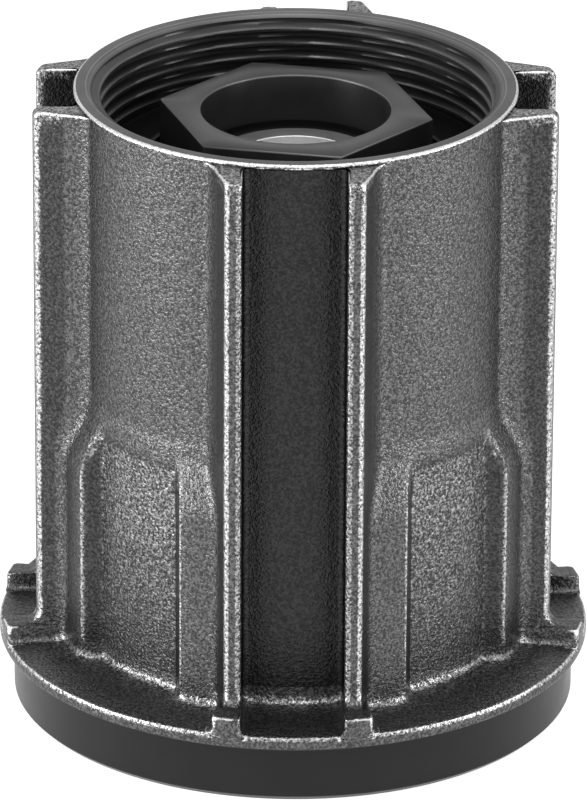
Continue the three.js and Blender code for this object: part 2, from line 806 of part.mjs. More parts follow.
// Both rings, seals, cage and balls of one bearing
function addBearing(prefix, low) {
  const sealLow = low + BEARING_SEAL_INSET;
  const sealHigh = low + bearingWidth - BEARING_SEAL_INSET - BEARING_SEAL_THICKNESS;
  add(`${prefix}_outer_ring`, bearingOuterRing(low), BRIGHT_STEEL);
  add(`${prefix}_inner_ring`, bearingInnerRing(low), BRIGHT_STEEL);
  add(`${prefix}_seal_lower`, bearingSeal(sealLow), RUBBER);
  add(`${prefix}_seal_upper`, bearingSeal(sealHigh), RUBBER);
  add(`${prefix}_cage`, bearingCage(low), POLYMER);
  for (let i = 0; i < BALLS; i += 1) {
    const ball = new THREE.IcosahedronGeometry(BALL_RADIUS, BALL_DETAIL);
    const mesh = add(`${prefix}_ball_${i + 1}`, ball, BRIGHT_STEEL);
    const angle = (2 * Math.PI * i) / BALLS;
    mesh.position.set(
      pitchRadius * Math.cos(angle),
      pitchRadius * Math.sin(angle),
      low + bearingWidth / 2,
    );
  }
}

add('driver_body', driverBody(), CAST_STEEL);
add('ratchet_ring', ratchetRing(), BLACK_STEEL);
for (let i = 0; i < PAWLS; i += 1) {
  add(`pawl_${i + 1}`, pawl(i), BRIGHT_STEEL);
  add(`pawl_spring_${i + 1}`, pawlSpring(i), SPRING_STEEL);
}
addBearing('inboard_bearing', inboardBearingLow);
addBearing('outboard_bearing', outboardBearingLow);
add('retaining_ring', retainingRing(), SPRING_STEEL);
add(
  'outer_spacer',
  tube(bearingOuterRadius - OUTER_SPACER_WALL, bearingOuterRadius, spacerLow, spacerHigh),
  BRIGHT_STEEL,
);
const innerSpacerBore = bearingBoreRadius + PRESS_GAP;
add(
  'inner_spacer',
  tube(innerSpacerBore, innerSpacerBore + INNER_SPACER_WALL, spacerLow, spacerHigh),
  BRIGHT_STEEL,
);
const inboardSealLow = SKIRT_RISE + INBOARD_SEAL_RISE;
add(
  'inboard_seal',
  tube(
    sleeveShoulderRadius + RUN_GAP,
    bearingOuterRadius,
    inboardSealLow,
    inboardSealLow + INBOARD_SEAL_THICKNESS,
  ),
  RUBBER,
);
add(
  'outboard_seal',
  tube(
    washerRadius + RUN_GAP,
    webBoreRadius - PRESS_GAP,
    webBottom,
    nutLow - RUN_GAP,
  ),
  RUBBER,
);
add('axle_sleeve', axleSleeve(), BRIGHT_STEEL);
add(
  'nut_washer',
  tube(bearingBoreRadius + PRESS_GAP, washerRadius, washerLow, washerLow + WASHER_THICKNESS),
  BRIGHT_STEEL,
);
add('end_nut', endNut(), NUT_STEEL);

export default group;
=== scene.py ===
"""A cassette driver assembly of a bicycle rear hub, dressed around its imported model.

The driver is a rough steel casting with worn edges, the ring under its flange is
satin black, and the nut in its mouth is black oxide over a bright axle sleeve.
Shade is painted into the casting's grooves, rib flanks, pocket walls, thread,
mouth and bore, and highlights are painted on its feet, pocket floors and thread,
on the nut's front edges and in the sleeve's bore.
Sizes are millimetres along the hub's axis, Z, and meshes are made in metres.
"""

import json
import logging
import math
from collections.abc import Callable
from dataclasses import dataclass, field
from enum import Enum

import bmesh
import bpy
import numpy as np
from mathutils import Matrix, Vector

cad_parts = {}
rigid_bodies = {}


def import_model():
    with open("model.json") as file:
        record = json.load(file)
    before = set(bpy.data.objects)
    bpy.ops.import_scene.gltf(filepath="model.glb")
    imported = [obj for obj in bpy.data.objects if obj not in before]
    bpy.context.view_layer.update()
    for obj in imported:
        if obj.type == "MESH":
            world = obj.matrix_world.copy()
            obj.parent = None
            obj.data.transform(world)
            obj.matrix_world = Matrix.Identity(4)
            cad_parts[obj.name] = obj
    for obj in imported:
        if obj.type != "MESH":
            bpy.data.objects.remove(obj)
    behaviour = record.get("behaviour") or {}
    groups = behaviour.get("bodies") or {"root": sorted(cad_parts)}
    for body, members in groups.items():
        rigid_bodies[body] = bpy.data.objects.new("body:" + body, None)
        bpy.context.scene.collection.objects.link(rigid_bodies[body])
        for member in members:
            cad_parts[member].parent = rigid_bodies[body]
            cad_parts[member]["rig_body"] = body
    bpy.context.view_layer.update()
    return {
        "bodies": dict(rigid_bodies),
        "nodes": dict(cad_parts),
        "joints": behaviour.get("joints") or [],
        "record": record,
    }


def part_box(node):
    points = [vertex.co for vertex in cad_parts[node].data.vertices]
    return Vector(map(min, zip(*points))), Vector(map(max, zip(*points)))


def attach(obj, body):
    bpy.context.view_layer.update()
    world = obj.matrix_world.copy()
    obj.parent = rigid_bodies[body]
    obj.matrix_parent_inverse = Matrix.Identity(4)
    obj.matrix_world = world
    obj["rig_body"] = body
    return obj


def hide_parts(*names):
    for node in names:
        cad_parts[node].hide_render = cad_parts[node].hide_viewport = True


MM = 0.001
WELD = 0.002 * MM
FULL_TURN = 2 * math.pi
HALF_PAIR_DEG = 45.0
# The middle point of a rounding stands in from the corner by this share of its radius
ROUND_SHARE = 0.3

log = logging.getLogger("driver")


class Slot(str, Enum):
    """The material slots of the record."""

    CAST = "cast_steel"
    RING = "black_ring_steel"
    NUT = "black_nut_steel"
    MACHINED = "machined_steel"
    BEARING = "bearing_steel"
    HARDENED = "hardened_steel"
    SPRING = "spring_steel"
    SPACER = "spacer_aluminium"
    SEAL = "seal_rubber"
    CAGE = "cage_polymer"


Value = bpy.types.NodeSocket | float
Paint = bpy.types.NodeSocket | tuple[float, float, float]


class NodeTree:
    """A small helper that adds and links the nodes of one material."""

    def __init__(self, name: str) -> None:
        """Starts an empty node material.

        Args:
            name: The material's name.
        """
        self.material = bpy.data.materials.new(name)
        self.material.use_nodes = True
        self.nodes = self.material.node_tree.nodes
        self.links = self.material.node_tree.links
        self.nodes.clear()
        output = self.nodes.new("ShaderNodeOutputMaterial")
        self.shader = self.nodes.new("ShaderNodeBsdfPrincipled")
        self.links.new(self.shader.outputs[0], output.inputs[0])
        self.place = self.nodes.new("ShaderNodeTexCoord").outputs["Object"]

    def link(self, source: bpy.types.NodeSocket, target: bpy.types.NodeSocket) -> None:
        """Links one socket to another.

        Args:
            source: The output socket.
            target: The input socket.
        """
        self.links.new(source, target)

    def attribute(self, name: str) -> bpy.types.NodeSocket:
        """Returns the value of a mesh attribute.

        Args:
            name: The attribute's name.

        Returns:
            The socket that carries it.
        """
        node = self.nodes.new("ShaderNodeAttribute")
        node.attribute_name = name
        return node.outputs["Fac"]

    def noise(self, scale: float, detail: float, rough: float) -> bpy.types.NodeSocket:
        """Adds a noise pattern on object coordinates.

        Args:
            scale: Cells in each metre.
            detail: Octaves of the noise.
            rough: How strong the fine octaves are.

        Returns:
            The noise value's socket.
        """
        node = self.nodes.new("ShaderNodeTexNoise")
        node.inputs["Scale"].default_value = scale
        node.inputs["Detail"].default_value = detail
        node.inputs["Roughness"].default_value = rough
        self.link(self.place, node.inputs["Vector"])
        return node.outputs["Fac"]

    def math(
        self, kind: str, first: Value, second: Value = 0.0, third: Value = 0.0
    ) -> bpy.types.NodeSocket:
        """Adds a Math node.

        Args:
            kind: The operation's name.
            first: A socket or a number.
            second: A socket or a number.
            third: A socket or a number.

        Returns:
            The result's socket.
        """
        node = self.nodes.new("ShaderNodeMath")
        node.operation = kind
        for place, value in enumerate((first, second, third)):
            if isinstance(value, bpy.types.NodeSocket):
                self.link(value, node.inputs[place])
            else:
                node.inputs[place].default_value = value
        return node.outputs[0]

    def span(
        self,
        value: bpy.types.NodeSocket,
        low: float,
        high: float,
        start: float = 0.0,
        end: float = 1.0,
    ) -> bpy.types.NodeSocket:
        """Maps a value's range to another with smooth ends.

        Args:
            value: The socket to map.
            low: The value that gives start.
            high: The value that gives end.
            start: The result at low.
            end: The result at high.

        Returns:
            The mapped socket.
        """
        node = self.nodes.new("ShaderNodeMapRange")
        node.interpolation_type = "SMOOTHSTEP"
        self.link(value, node.inputs["Value"])
        node.inputs["From Min"].default_value = low
        node.inputs["From Max"].default_value = high
        node.inputs["To Min"].default_value = start
        node.inputs["To Max"].default_value = end
        return node.outputs["Result"]

    def blend(
        self, share: bpy.types.NodeSocket, first: Paint, second: Paint
    ) -> bpy.types.NodeSocket:
        """Mixes two colours.

        Args:
            share: A socket, where 0 is the first colour and 1 the second.
            first: A socket or an RGB tuple.
            second: A socket or an RGB tuple.

        Returns:
            The mixed colour's socket.
        """
        node = self.nodes.new("ShaderNodeMix")
        node.data_type = "RGBA"
        self.link(share, node.inputs["Factor"])
        for name, value in (("A", first), ("B", second)):
            socket = [s for s in node.inputs if s.name == name and s.type == "RGBA"][0]
            if isinstance(value, bpy.types.NodeSocket):
                self.link(value, socket)
            else:
                socket.default_value = (*value, 1)
        return [s for s in node.outputs if s.type == "RGBA"][0]

    def bump(
        self, height: bpy.types.NodeSocket, depth: float, strength: float
    ) -> bpy.types.NodeSocket:
        """Adds a Bump node.

        Args:
            height: The height's socket.
            depth: The height of the pattern, in metres.
            strength: The bump's strength.

        Returns:
            The normal's socket.
        """
        node = self.nodes.new("ShaderNodeBump")
        node.inputs["Distance"].default_value = depth
        node.inputs["Strength"].default_value = strength
        self.link(height, node.inputs["Height"])
        return node.outputs["Normal"]


@dataclass(frozen=True)
class CastFinish:
    """Rough cast steel with a machined mouth, edges worn bright, painted shade in its hollows and
    painted highlights on its feet, pocket floors and thread.
    """

    dark: tuple[float, float, float] = (0.045, 0.045, 0.045)
    pale: tuple[float, float, float] = (0.156, 0.156, 0.158)
    # Painted shade: the colour that the recess mark mixes into the grooves, rib flanks, pocket walls,
    # thread, mouth and bore.
    shade: tuple[float, float, float] = (0.015, 0.015, 0.015)
    # The colour of worn edges, and also of the painted highlights that share their mark.
    worn: tuple[float, float, float] = (0.75, 0.75, 0.746)
    grazing: float = 0.75
    turned: tuple[float, float, float] = (0.11, 0.11, 0.112)
    turned_pale: tuple[float, float, float] = (0.14, 0.14, 0.142)
    grain: float = 5200.0
    speckle: float = 9500.0
    cloud: float = 260.0
    speckle_share: float = 0.4
    turned_smooth: float = 0.9
    recess_shade_share: float = 0.8
    ragged: float = 2.8
    pale_span: tuple[float, float] = (0.38, 0.66)
    worn_span: tuple[float, float] = (0.3, 0.95)
    metal: float = 0.9
    rough: float = 0.28
    turned_rough: float = 0.14
    relief_depth: float = 0.11
    relief_strength: float = 0.8

    def build(self) -> bpy.types.Material:
        """Makes the material of the whole casting.

        Returns:
            The material.
        """
        tree = NodeTree("cast_steel_finish")
        grain = tree.noise(self.grain, 1.5, 0.5)
        speckle = tree.noise(self.speckle, 1.0, 0.5)
        cloud = tree.noise(self.cloud, 3.0, 0.5)
        turned = tree.attribute("turned")
        recess = tree.attribute("recess")
        bare = tree.attribute("bare")
        fine = tree.math("MULTIPLY", speckle, self.speckle_share)
        mixed = tree.math("MULTIPLY_ADD", grain, 1 - self.speckle_share, fine)
        rough_share = tree.math("MULTIPLY_ADD", turned, -self.turned_smooth, 1.0)
        tree.shader.inputs["Specular Tint"].default_value = (*[self.grazing] * 3, 1.0)
        cast = tree.blend(tree.span(mixed, *self.pale_span), self.dark, self.pale)
        # Painted shade: the recess mark pulls the cast colour towards the shade colour in the grooves,
        # on the rib flanks and on the pocket walls.
        shaded = tree.blend(tree.math("MULTIPLY", recess, self.recess_shade_share), cast, self.shade)
        machined = tree.blend(tree.span(cloud, 0.3, 0.7), self.turned, self.turned_pale)
        # Painted shade in the thread, the mouth and the bore, where the recess mark is set.
        deep = tree.blend(recess, machined, self.shade)
        ground = tree.blend(turned, shaded, deep)
        # Besides the curvature wear and real worn edges, this mark holds painted highlights on the
        # feet, pocket floors and thread.
        wear = tree.math("MAXIMUM", tree.attribute("wear"), bare)
        uneven = tree.math("MULTIPLY_ADD", mixed, self.ragged, -self.ragged / 2)
        ragged = tree.math("MULTIPLY", uneven, rough_share)
        worn_and_lit_edge = tree.math("MULTIPLY_ADD", wear, ragged, wear)
        edge = tree.span(worn_and_lit_edge, *self.worn_span)
        tree.link(tree.blend(edge, ground, self.worn), tree.shader.inputs["Base Color"])
        tree.shader.inputs["Metallic"].default_value = self.metal
        rough = tree.math("MULTIPLY_ADD", turned, self.turned_rough, self.rough)
        tree.link(rough, tree.shader.inputs["Roughness"])
        relief = tree.math("MULTIPLY", mixed, rough_share)
        normal = tree.bump(relief, self.relief_depth * MM, self.relief_strength)
        tree.link(normal, tree.shader.inputs["Normal"])
        return tree.material


@dataclass(frozen=True)
class SteelFinish:
    """A turned or ground steel with faint machining lines round the axis."""

    name: str
    base: tuple[float, float, float]
    rough: float
    metal: float = 0.9
    lines: float = 0.25
    worn: tuple[float, float, float] = (0.5, 0.5, 0.5)
    wear_share: float = 0.5
    specular: float = 0.5
    line_scale: float = 16000.0
    line_stretch: float = 0.05
    line_depth: float = 0.01
    cloud: float = 300.0
    lighter: float = 1.25
    rough_swing: float = 0.15

    def build(self) -> bpy.types.Material:
        """Makes the material.

        Returns:
            The material.
        """
        tree = NodeTree(self.name)
        tree.shader.inputs["Specular IOR Level"].default_value = self.specular
        stretch = tree.nodes.new("ShaderNodeMapping")
        stretch.inputs["Scale"].default_value = (self.line_stretch, self.line_stretch, 1.0)
        tree.link(tree.place, stretch.inputs["Vector"])
        lines = tree.nodes.new("ShaderNodeTexNoise")
        lines.inputs["Scale"].default_value = self.line_scale
        lines.inputs["Detail"].default_value = 2.0
        tree.link(stretch.outputs[0], lines.inputs["Vector"])
        cloud = tree.noise(self.cloud, 3.0, 0.55)
        lighter = tuple(min(1.0, self.lighter * part) for part in self.base)
        body = tree.blend(tree.span(cloud, 0.3, 0.7), self.base, lighter)
        # For the nut and the sleeve's bore this mark also carries painted highlights.
        edge = tree.math("MULTIPLY", tree.attribute("wear"), self.wear_share)
        colour = tree.blend(edge, body, self.worn)
        tree.link(colour, tree.shader.inputs["Base Color"])
        tree.shader.inputs["Metallic"].default_value = self.metal
        low, high = self.rough * (1 - self.rough_swing), self.rough * (1 + self.rough_swing)
        rough = tree.span(cloud, 0.2, 0.8, low, high)
        tree.link(rough, tree.shader.inputs["Roughness"])
        normal = tree.bump(lines.outputs["Fac"], self.line_depth * MM, self.lines)
        tree.link(normal, tree.shader.inputs["Normal"])
        return tree.material


@dataclass(frozen=True)
class MouldedFinish:
    """Rubber or polymer with a fine matt grain."""

    name: str
    base: tuple[float, float, float]
    rough: float
    grain: float = 5000.0
    grain_depth: float = 0.02
    grain_strength: float = 0.4
    cloud: float = 400.0
    lighter: float = 1.5

    def build(self) -> bpy.types.Material:
        """Makes the material.

        Returns:
            The material.
        """
        tree = NodeTree(self.name)
        grain = tree.noise(self.grain, 3.0, 0.6)
        cloud = tree.noise(self.cloud, 2.0, 0.5)
        lighter = tuple(min(1.0, self.lighter * part) for part in self.base)
        colour = tree.blend(tree.span(cloud, 0.3, 0.7), self.base, lighter)
        tree.link(colour, tree.shader.inputs["Base Color"])
        tree.shader.inputs["Roughness"].default_value = self.rough
        normal = tree.bump(grain, self.grain_depth * MM, self.grain_strength)
        tree.link(normal, tree.shader.inputs["Normal"])
        return tree.material


FINISHES: dict[Slot, CastFinish | SteelFinish | MouldedFinish] = {
    Slot.CAST: CastFinish(),
    Slot.RING: SteelFinish(
        "black_ring_finish", (0.009, 0.009, 0.01), 0.34, 0.0, 0.1, (0.3, 0.3, 0.3), 0.4, 0.22
    ),
    # The nut's worn colour also paints the highlights on its front edges and at the back of its
    # pocket.
    Slot.NUT: SteelFinish(
        "black_nut_finish", (0.016, 0.016, 0.017), 0.34, 0.1, 0.1, (0.5, 0.5, 0.5), 0.8, 0.3
    ),
    # This worn colour also paints the highlight on the sleeve's bore wall.
    Slot.MACHINED: SteelFinish(
        "machined_finish", (0.24, 0.24, 0.245), 0.42, 0.55, 0.4, (0.95, 0.95, 0.95), 1.0
    ),
    Slot.BEARING: SteelFinish("bearing_finish", (0.55, 0.55, 0.57), 0.18),
    Slot.HARDENED: SteelFinish("hardened_finish", (0.3, 0.3, 0.31), 0.3),
    Slot.SPRING: SteelFinish("spring_finish", (0.4, 0.4, 0.42), 0.28),
    Slot.SPACER: SteelFinish("spacer_finish", (0.6, 0.6, 0.62), 0.35),
    Slot.SEAL: MouldedFinish("seal_finish", (0.012, 0.012, 0.012), 0.7),
    Slot.CAGE: MouldedFinish("cage_finish", (0.3, 0.22, 0.12), 0.5),
}


class Workshop:
    """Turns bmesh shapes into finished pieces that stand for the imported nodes."""

    def __init__(self, frame: dict) -> None:
        """Builds every finish once.
        """
        self.nodes = frame["nodes"]
        rows = frame["record"]["subparts"]
        self.slots = {row["node"]: Slot(row["material_slot"]) for row in rows}
        self.finish = {slot: kind.build() for slot, kind in FINISHES.items()}

    def stand_in(
        self, bm: bmesh.types.BMesh, name: str, node: str, smooth_deg: float = 32.0
    ) -> None:
        """Makes the object, ties it to its node's body and gives it the node's finish.

        Args:
            bm: The finished shape, which is freed.
            name: The piece's name.
            node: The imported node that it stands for.
            smooth_deg: Edges sharper than this stay sharp.
        """
        mesh = bpy.data.meshes.new(name)
        bm.to_mesh(mesh)
        bm.free()
        mesh.shade_smooth()
        mesh.set_sharp_from_angle(angle=math.radians(smooth_deg))
        piece = bpy.data.objects.new(name, mesh)
        bpy.context.scene.collection.objects.link(piece)
        slot = self.slots[node]
        mesh.materials.append(self.finish[slot])
        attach(piece, self.nodes[node]["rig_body"])
        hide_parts(node)
        log.info("%s: %d faces for %s", name, len(mesh.polygons), node)


def heights(node: str) -> tuple[float, float]:
    """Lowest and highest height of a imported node, in millimetres.

    Args:
        node: The node's name.

    Returns:
        The two heights.
    """
    low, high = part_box(node)
    return low.z / MM, high.z / MM


def levelled(points: np.ndarray, height: float) -> np.ndarray:
    """Plan points raised to one height."""
    return np.column_stack([points, np.full(len(points), height)])


def wrapped_grid(points: np.ndarray, marks: dict[str, np.ndarray]) -> bmesh.types.BMesh:
    """Bends a flat grid into a closed ring of rings.

    Args:
        points: Ring, column and X, Y, Z, in millimetres.
        marks: A value for each point, by attribute name.

    Returns:
        A closed shape whose first and last rings and columns are welded.
    """
    rings, columns = points.shape[:2]
    bm = bmesh.new()
    bmesh.ops.create_grid(bm, x_segments=rings, y_segments=columns, size=0.5)
    layers = {name: bm.verts.layers.float.new(name) for name in marks}
    for vert in bm.verts:
        ring = round((vert.co.x + 0.5) * rings) % rings
        column = round((vert.co.y + 0.5) * columns) % columns
        vert.co = Vector(points[ring, column]) * MM
        for name, values in marks.items():
            vert[layers[name]] = float(values[ring, column])
    bmesh.ops.remove_doubles(bm, verts=bm.verts, dist=WELD)
    bmesh.ops.dissolve_degenerate(bm, edges=bm.edges, dist=WELD)
    bmesh.ops.recalc_face_normals(bm, faces=bm.faces)
    return bm


def loft(
    angle: np.ndarray, section: list[tuple[np.ndarray, float]], marks: dict[str, np.ndarray]
) -> bmesh.types.BMesh:
    """Lofts a closed section whose radii vary round the axis.

    Args:
        angle: Azimuth of each column, counted from the front towards +X.
        section: For each ring the radius of every column, and the height.
        marks: A value for each point, by attribute name.

    Returns:
        The closed shape.
    """
    rings = [
        levelled(np.column_stack([radii * np.sin(angle), -radii * np.cos(angle)]), height)
        for radii, height in section
    ]
    return wrapped_grid(np.stack(rings), marks)


def turned(profile: list[tuple[float, float]], steps: int = 96) -> bmesh.types.BMesh:
    """Spins a closed outline round the axis.

    Args:
        profile: Radius and height of each corner, in millimetres.
        steps: Steps in the full turn.

    Returns:
        The closed turned shape.
    """
    bm = bmesh.new()
    verts = [bm.verts.new((radius * MM, 0, height * MM)) for radius, height in profile]
    edges = [bm.edges.new(pair) for pair in zip(verts, verts[1:] + verts[:1])]
    bmesh.ops.spin(
        bm,
        geom=verts + edges,
        cent=(0, 0, 0),
        axis=(0, 0, 1),
        angle=FULL_TURN,
        steps=steps,
        use_merge=True,
    )
    bmesh.ops.remove_doubles(bm, verts=bm.verts, dist=WELD)
    bmesh.ops.recalc_face_normals(bm, faces=bm.faces)
    return bm


def plate(outlines: list[list[tuple[float, float]]], low: float, high: float) -> bmesh.types.BMesh:
    """Raises a flat outline, with any holes, to a straight block.

    Args:
        outlines: The outer loop and then each hole, as plan points in millimetres.
        low: The lower height.
        high: The upper height.

    Returns:
        The closed block.
    """
    bm = bmesh.new()
    edges = []
    for loop in outlines:
        verts = [bm.verts.new((x * MM, y * MM, low * MM)) for x, y in loop]
        edges += [bm.edges.new(pair) for pair in zip(verts, verts[1:] + verts[:1])]
    bmesh.ops.triangle_fill(bm, use_beauty=True, use_dissolve=True, edges=edges)
    made = bmesh.ops.extrude_face_region(bm, geom=bm.faces[:])["geom"]
    raised = [part for part in made if isinstance(part, bmesh.types.BMVert)]
    bmesh.ops.translate(bm, verts=raised, vec=(0, 0, (high - low) * MM))
    bmesh.ops.recalc_face_normals(bm, faces=bm.faces)
    return bm


def soften(bm: bmesh.types.BMesh, radius: float, sharper_deg: float = 60.0, segments: int = 3) -> None:
    """Rounds every edge that is sharper than an angle.

    Args:
        bm: The shape.
        radius: The rounding in millimetres.
        sharper_deg: The least angle that is rounded.
        segments: Steps across each rounding.
    """
    limit = math.radians(sharper_deg)
    sharp = [edge for edge in bm.edges if edge.is_manifold and edge.calc_face_angle() > limit]
    bmesh.ops.bevel(
        bm,
        geom=sharp,
        offset=radius * MM,
        offset_type="OFFSET",
        segments=segments,
        profile=0.5,
        affect="EDGES",
        material=-1,
        clamp_overlap=True,
    )
    bmesh.ops.remove_doubles(bm, verts=bm.verts, dist=WELD)


def mark_wear(bm: bmesh.types.BMesh, edge_radius: float = 0.2, passes: int = 1) -> None:
    """Marks the convex edges, which wear bright unless the shape has a cover mark.

    Args:
        bm: The shape.
        edge_radius: The edge radius, in millimetres, that counts as fully worn.
        passes: How often the mark is spread to its neighbours.
    """
    layer = bm.verts.layers.float.new("wear")
    cover = bm.verts.layers.float.get("cover")
    for vert in bm.verts:
        bend = 0.0
        for edge in vert.link_edges:
            if edge.is_manifold:
                bend += edge.calc_face_angle_signed(0.0) * edge.calc_length()
        area = sum(face.calc_area() / len(face.verts) for face in vert.link_faces)
        curve = bend / (4 * area) if area > 0 else 0.0
        vert[layer] = min(1.0, max(0.0, 2 * curve * edge_radius * MM))
        if cover is not None:
            vert[layer] *= 1 - vert[cover]
    for _ in range(passes):
        spread = {}
        for vert in bm.verts:
            near = [edge.other_vert(vert)[layer] for edge in vert.link_edges]
            spread[vert] = (vert[layer] * 2 + sum(near)) / (2 + len(near))
        for vert, value in spread.items():
            vert[layer] = value


def plan(radius: float, degrees: float) -> tuple[float, float]:
    """A plan point at an azimuth counted from the front towards +X."""
    angle = math.radians(degrees)
    return radius * math.sin(angle), -radius * math.cos(angle)


def plan_arc(radius: float, start: float, end: float, steps: int) -> list[tuple[float, float]]:
    """Plan points along an arc between two azimuths."""
    return [plan(radius, start + (end - start) * i / steps) for i in range(steps + 1)]


def arc(
    centre: tuple[float, float], radius: float, start: float, end: float, count: int
) -> list[tuple[float, float]]:
    """Points round a centre from one angle to another, both included.

    Args:
        centre: The centre.
        radius: The arc's radius.
        start: The first angle, in radians.
        end: The last angle.
        count: How many points there are.

    Returns:
        The points in order.
    """
    angles = [start + (end - start) * i / (count - 1) for i in range(count)]
    return [(centre[0] + radius * math.cos(a), centre[1] + radius * math.sin(a)) for a in angles]


def between(
    first: tuple[float, float], last: tuple[float, float], count: int
) -> list[tuple[float, float]]:
    """Even points on a straight line, without its ends.

    Args:
        first: The line's start.
        last: The line's end.
        count: How many points there are.

    Returns:
        The points in order.
    """
    shares = [i / (count + 1) for i in range(1, count + 1)]
    return [tuple(a + (b - a) * share for a, b in zip(first, last)) for share in shares]


@dataclass
class DriverShell:
    """The cast driver: ribs, grooves, swollen feet, pockets, flange, lugs, rim and thread."""

    flange_bottom: float = 4.15
    flange_top: float = 5.06
    rim_top: float = 43.33
    flange_radius: float = 19.9
    land_radius: float = 14.7
    groove_radius: float = 14.55
    groove_half: float = 3.4
    groove_lip: float = 0.3
    rib_radius: float = 17.7
    rib_thickness: float = 1.15
    rib_draft: float = 0.26
    rib_draft_start: float = 17.1
    rib_edge: float = 0.36
    rib_groove_edge: float = 0.3
    rib_drop: float = 0.3
    rib_corner: float = 0.5
    top_edge: float = 0.15
    floor_fillet: float = 0.4
    root_end_deg: float = 24.0
    root_run: float = 1.35
    pad_root_end_deg: float = 20.5
    pad_root_run: float = 0.6
    index_pair: int = 2
    index_inner: float = 1.3
    index_drop: float = 0.9
    pad_rise: float = 1.35
    pad_top: float = 18.4
    pad_ramp: float = 4.6
    pocket_half: float = 3.5
    pocket_slope: float = 1.42
    pocket_edge: float = 0.22
    pocket_rise: float = 0.16
    pocket_worn: float = 0.32
    pocket_top: float = 22.2
    pocket_ramp: float = 1.3
    foot_fillet: float = 0.45
    lug_height: float = 1.16
    lug_width: float = 1.9
    lug_flat: float = 1.3
    lug_fillet: float = 0.9
    lug_edge: float = 0.2
    lug_narrowing: float = -0.13
    lug_draft_start: float = 19.2
    flange_edge: float = 0.18
    flange_top_edge: float = 0.28
    thread_radius: float = 13.5
    thread_crest: float = 12.92
    thread_pitch: float = 1.0
    thread_length: float = 4.95
    thread_phase: float = 0.74
    rim_edge: float = 0.2
    chamfer: float = 0.37
    chamfer_depth: float = 0.27
    mouth_floor: float = 37.98
    wall_radius: float = 13.1
    web_bottom: float = 33.58
    web_radius: float = 10.2
    bore_radius: float = 12.05
    retainer_radius: float = 12.75
    retainer_top: float = 5.25
    groove_edge_cover: float = 0.45
    thread_cover: float = 0.9
    flange_edge_cover: float = 0.7
    lug_root_cover: float = 0.85
    # Of these marks, the pocket floor, foot and thread values paint highlights, and the recess and
    # flank values paint shade; the others mark wear.
    recess_worn: float = 0.64
    recess_floor_light: float = 0.41
    recess_shade: float = 0.75
    foot_highlight: float = 0.44
    rib_top_worn: float = 0.46
    thread_highlight: float = 0.46
    crest_shift: float = 0.14
    flank_shade: float = 0.6
    lug_fade_rings: int = 3
    rib_in_worn: float = 0.5
    rib_out_worn: float = 0.62
    recess_least: float = 0.1
    recess_run: float = 0.5
    recess_floor_band: float = 0.2
    recess_floor_fade: float = 0.25
    recess_wall_band: float = 0.3
    worn_radius: float = 0.2
    round_steps: int = 4
    lug_top_rings: int = 3
    other_top_rings: int = 4
    floor_rings: int = 4
    bore_rings: int = 10
    lug_steps: int = 5
    rib_steps: int = 6
    pad_step: float = 0.32
    crown_over: float = 0.4
    corner_clear: float = 0.2
    corner_drops: tuple[float, float] = (0.36, 0.24)
    edge_drops: tuple[float, float] = (0.08, 0.03)
    lip_run: float = 0.12
    lip_places: tuple[tuple[float, float], ...] = ((0.12, 0.0), (0.04, 0.0), (-0.02, 0.03))
    thread_start: float = 0.06
    thread_over: float = 0.05
    thread_steps: int = 12
    thread_gain: float = 1.35
    thread_flat: float = 0.12
    thread_run_out: float = 0.4
    crest_share: float = 0.12
    floor_rounding: float = 0.2
    web_edge: float = 0.15
    counts: dict[str, int] = field(
        default_factory=lambda: {
            "floor": 6,
            "fillet": 5,
            "wall": 4,
            "edge": 5,
            "face": 2,
            "flank": 5,
            "root": 7,
            "land": 20,
        }
    )

    @staticmethod
    def ramp(height: float, top: float, length: float) -> float:
        """A smooth share that is 1 below a height and 0 above its ramp."""
        share = min(1.0, max(0.0, (top + length - height) / length))
        return share * share * (3 - 2 * share)

    def pad_share(self, height: float) -> float:
        """How far the feet are swollen at a height, from 0 to 1."""
        return self.ramp(height, self.pad_top, self.pad_ramp)

    def swells(self, degrees: np.ndarray, height: float) -> tuple[np.ndarray, np.ndarray]:
        """The feet's rise and the recess's wall over the land.

        Args:
            degrees: Azimuths from the pair's middle.
            height: The height above the ring's face.

        Returns:
            The rise of the feet, and that of the drafted wall, at each azimuth.
        """
        floor = self.pocket_rise * self.ramp(height, self.pocket_top, self.pocket_ramp)
        rise = np.full(len(degrees), max(floor, self.pad_rise * self.pad_share(height)))
        across = np.abs(self.land_radius * np.sin(np.radians(degrees - HALF_PAIR_DEG)))
        wall = (across - self.pocket_half) * self.pocket_slope
        soft = self.pocket_edge
        foot = np.maximum(soft - np.abs(wall), 0) ** 2 / (4 * soft)
        return rise, floor + np.maximum(wall, 0) + foot

    def land(self, degrees: np.ndarray, height: float) -> np.ndarray:
        """Radius of the land, with its swollen feet and the recess between them.

        Args:
            degrees: Azimuths from the pair's middle.
            height: The height above the ring's face.

        Returns:
            A radius for each azimuth.
        """
        rise, wall = self.swells(degrees, height)
        soft = self.pocket_edge
        swell = np.minimum(rise, wall) - np.maximum(soft - np.abs(rise - wall), 0) ** 2 / (4 * soft)
        return self.land_radius + np.maximum(swell, 0)

    def recess_marks(self, height: float) -> tuple[np.ndarray, np.ndarray]:
        """Wear, painted light and painted shade of each column of a half outline beside the recess.

        Args:
            height: The height above the ring's face.

        Returns:
            The painted light on the recess's floor, the wear along its upper edge, and
            the painted shade on its wall, from 0 to 1.
        """
        start, end = self.groups()["land"]
        worn, shade = np.zeros(end), np.zeros(end)
        degrees = np.linspace(self.pad_root_end_deg, HALF_PAIR_DEG, end - start)
        rise, wall = self.swells(degrees, height)
        near = np.clip(1 - np.abs(rise - wall) / self.pocket_worn, 0, 1)
        inside = np.clip((rise - self.recess_least) / self.recess_run, 0, 1)
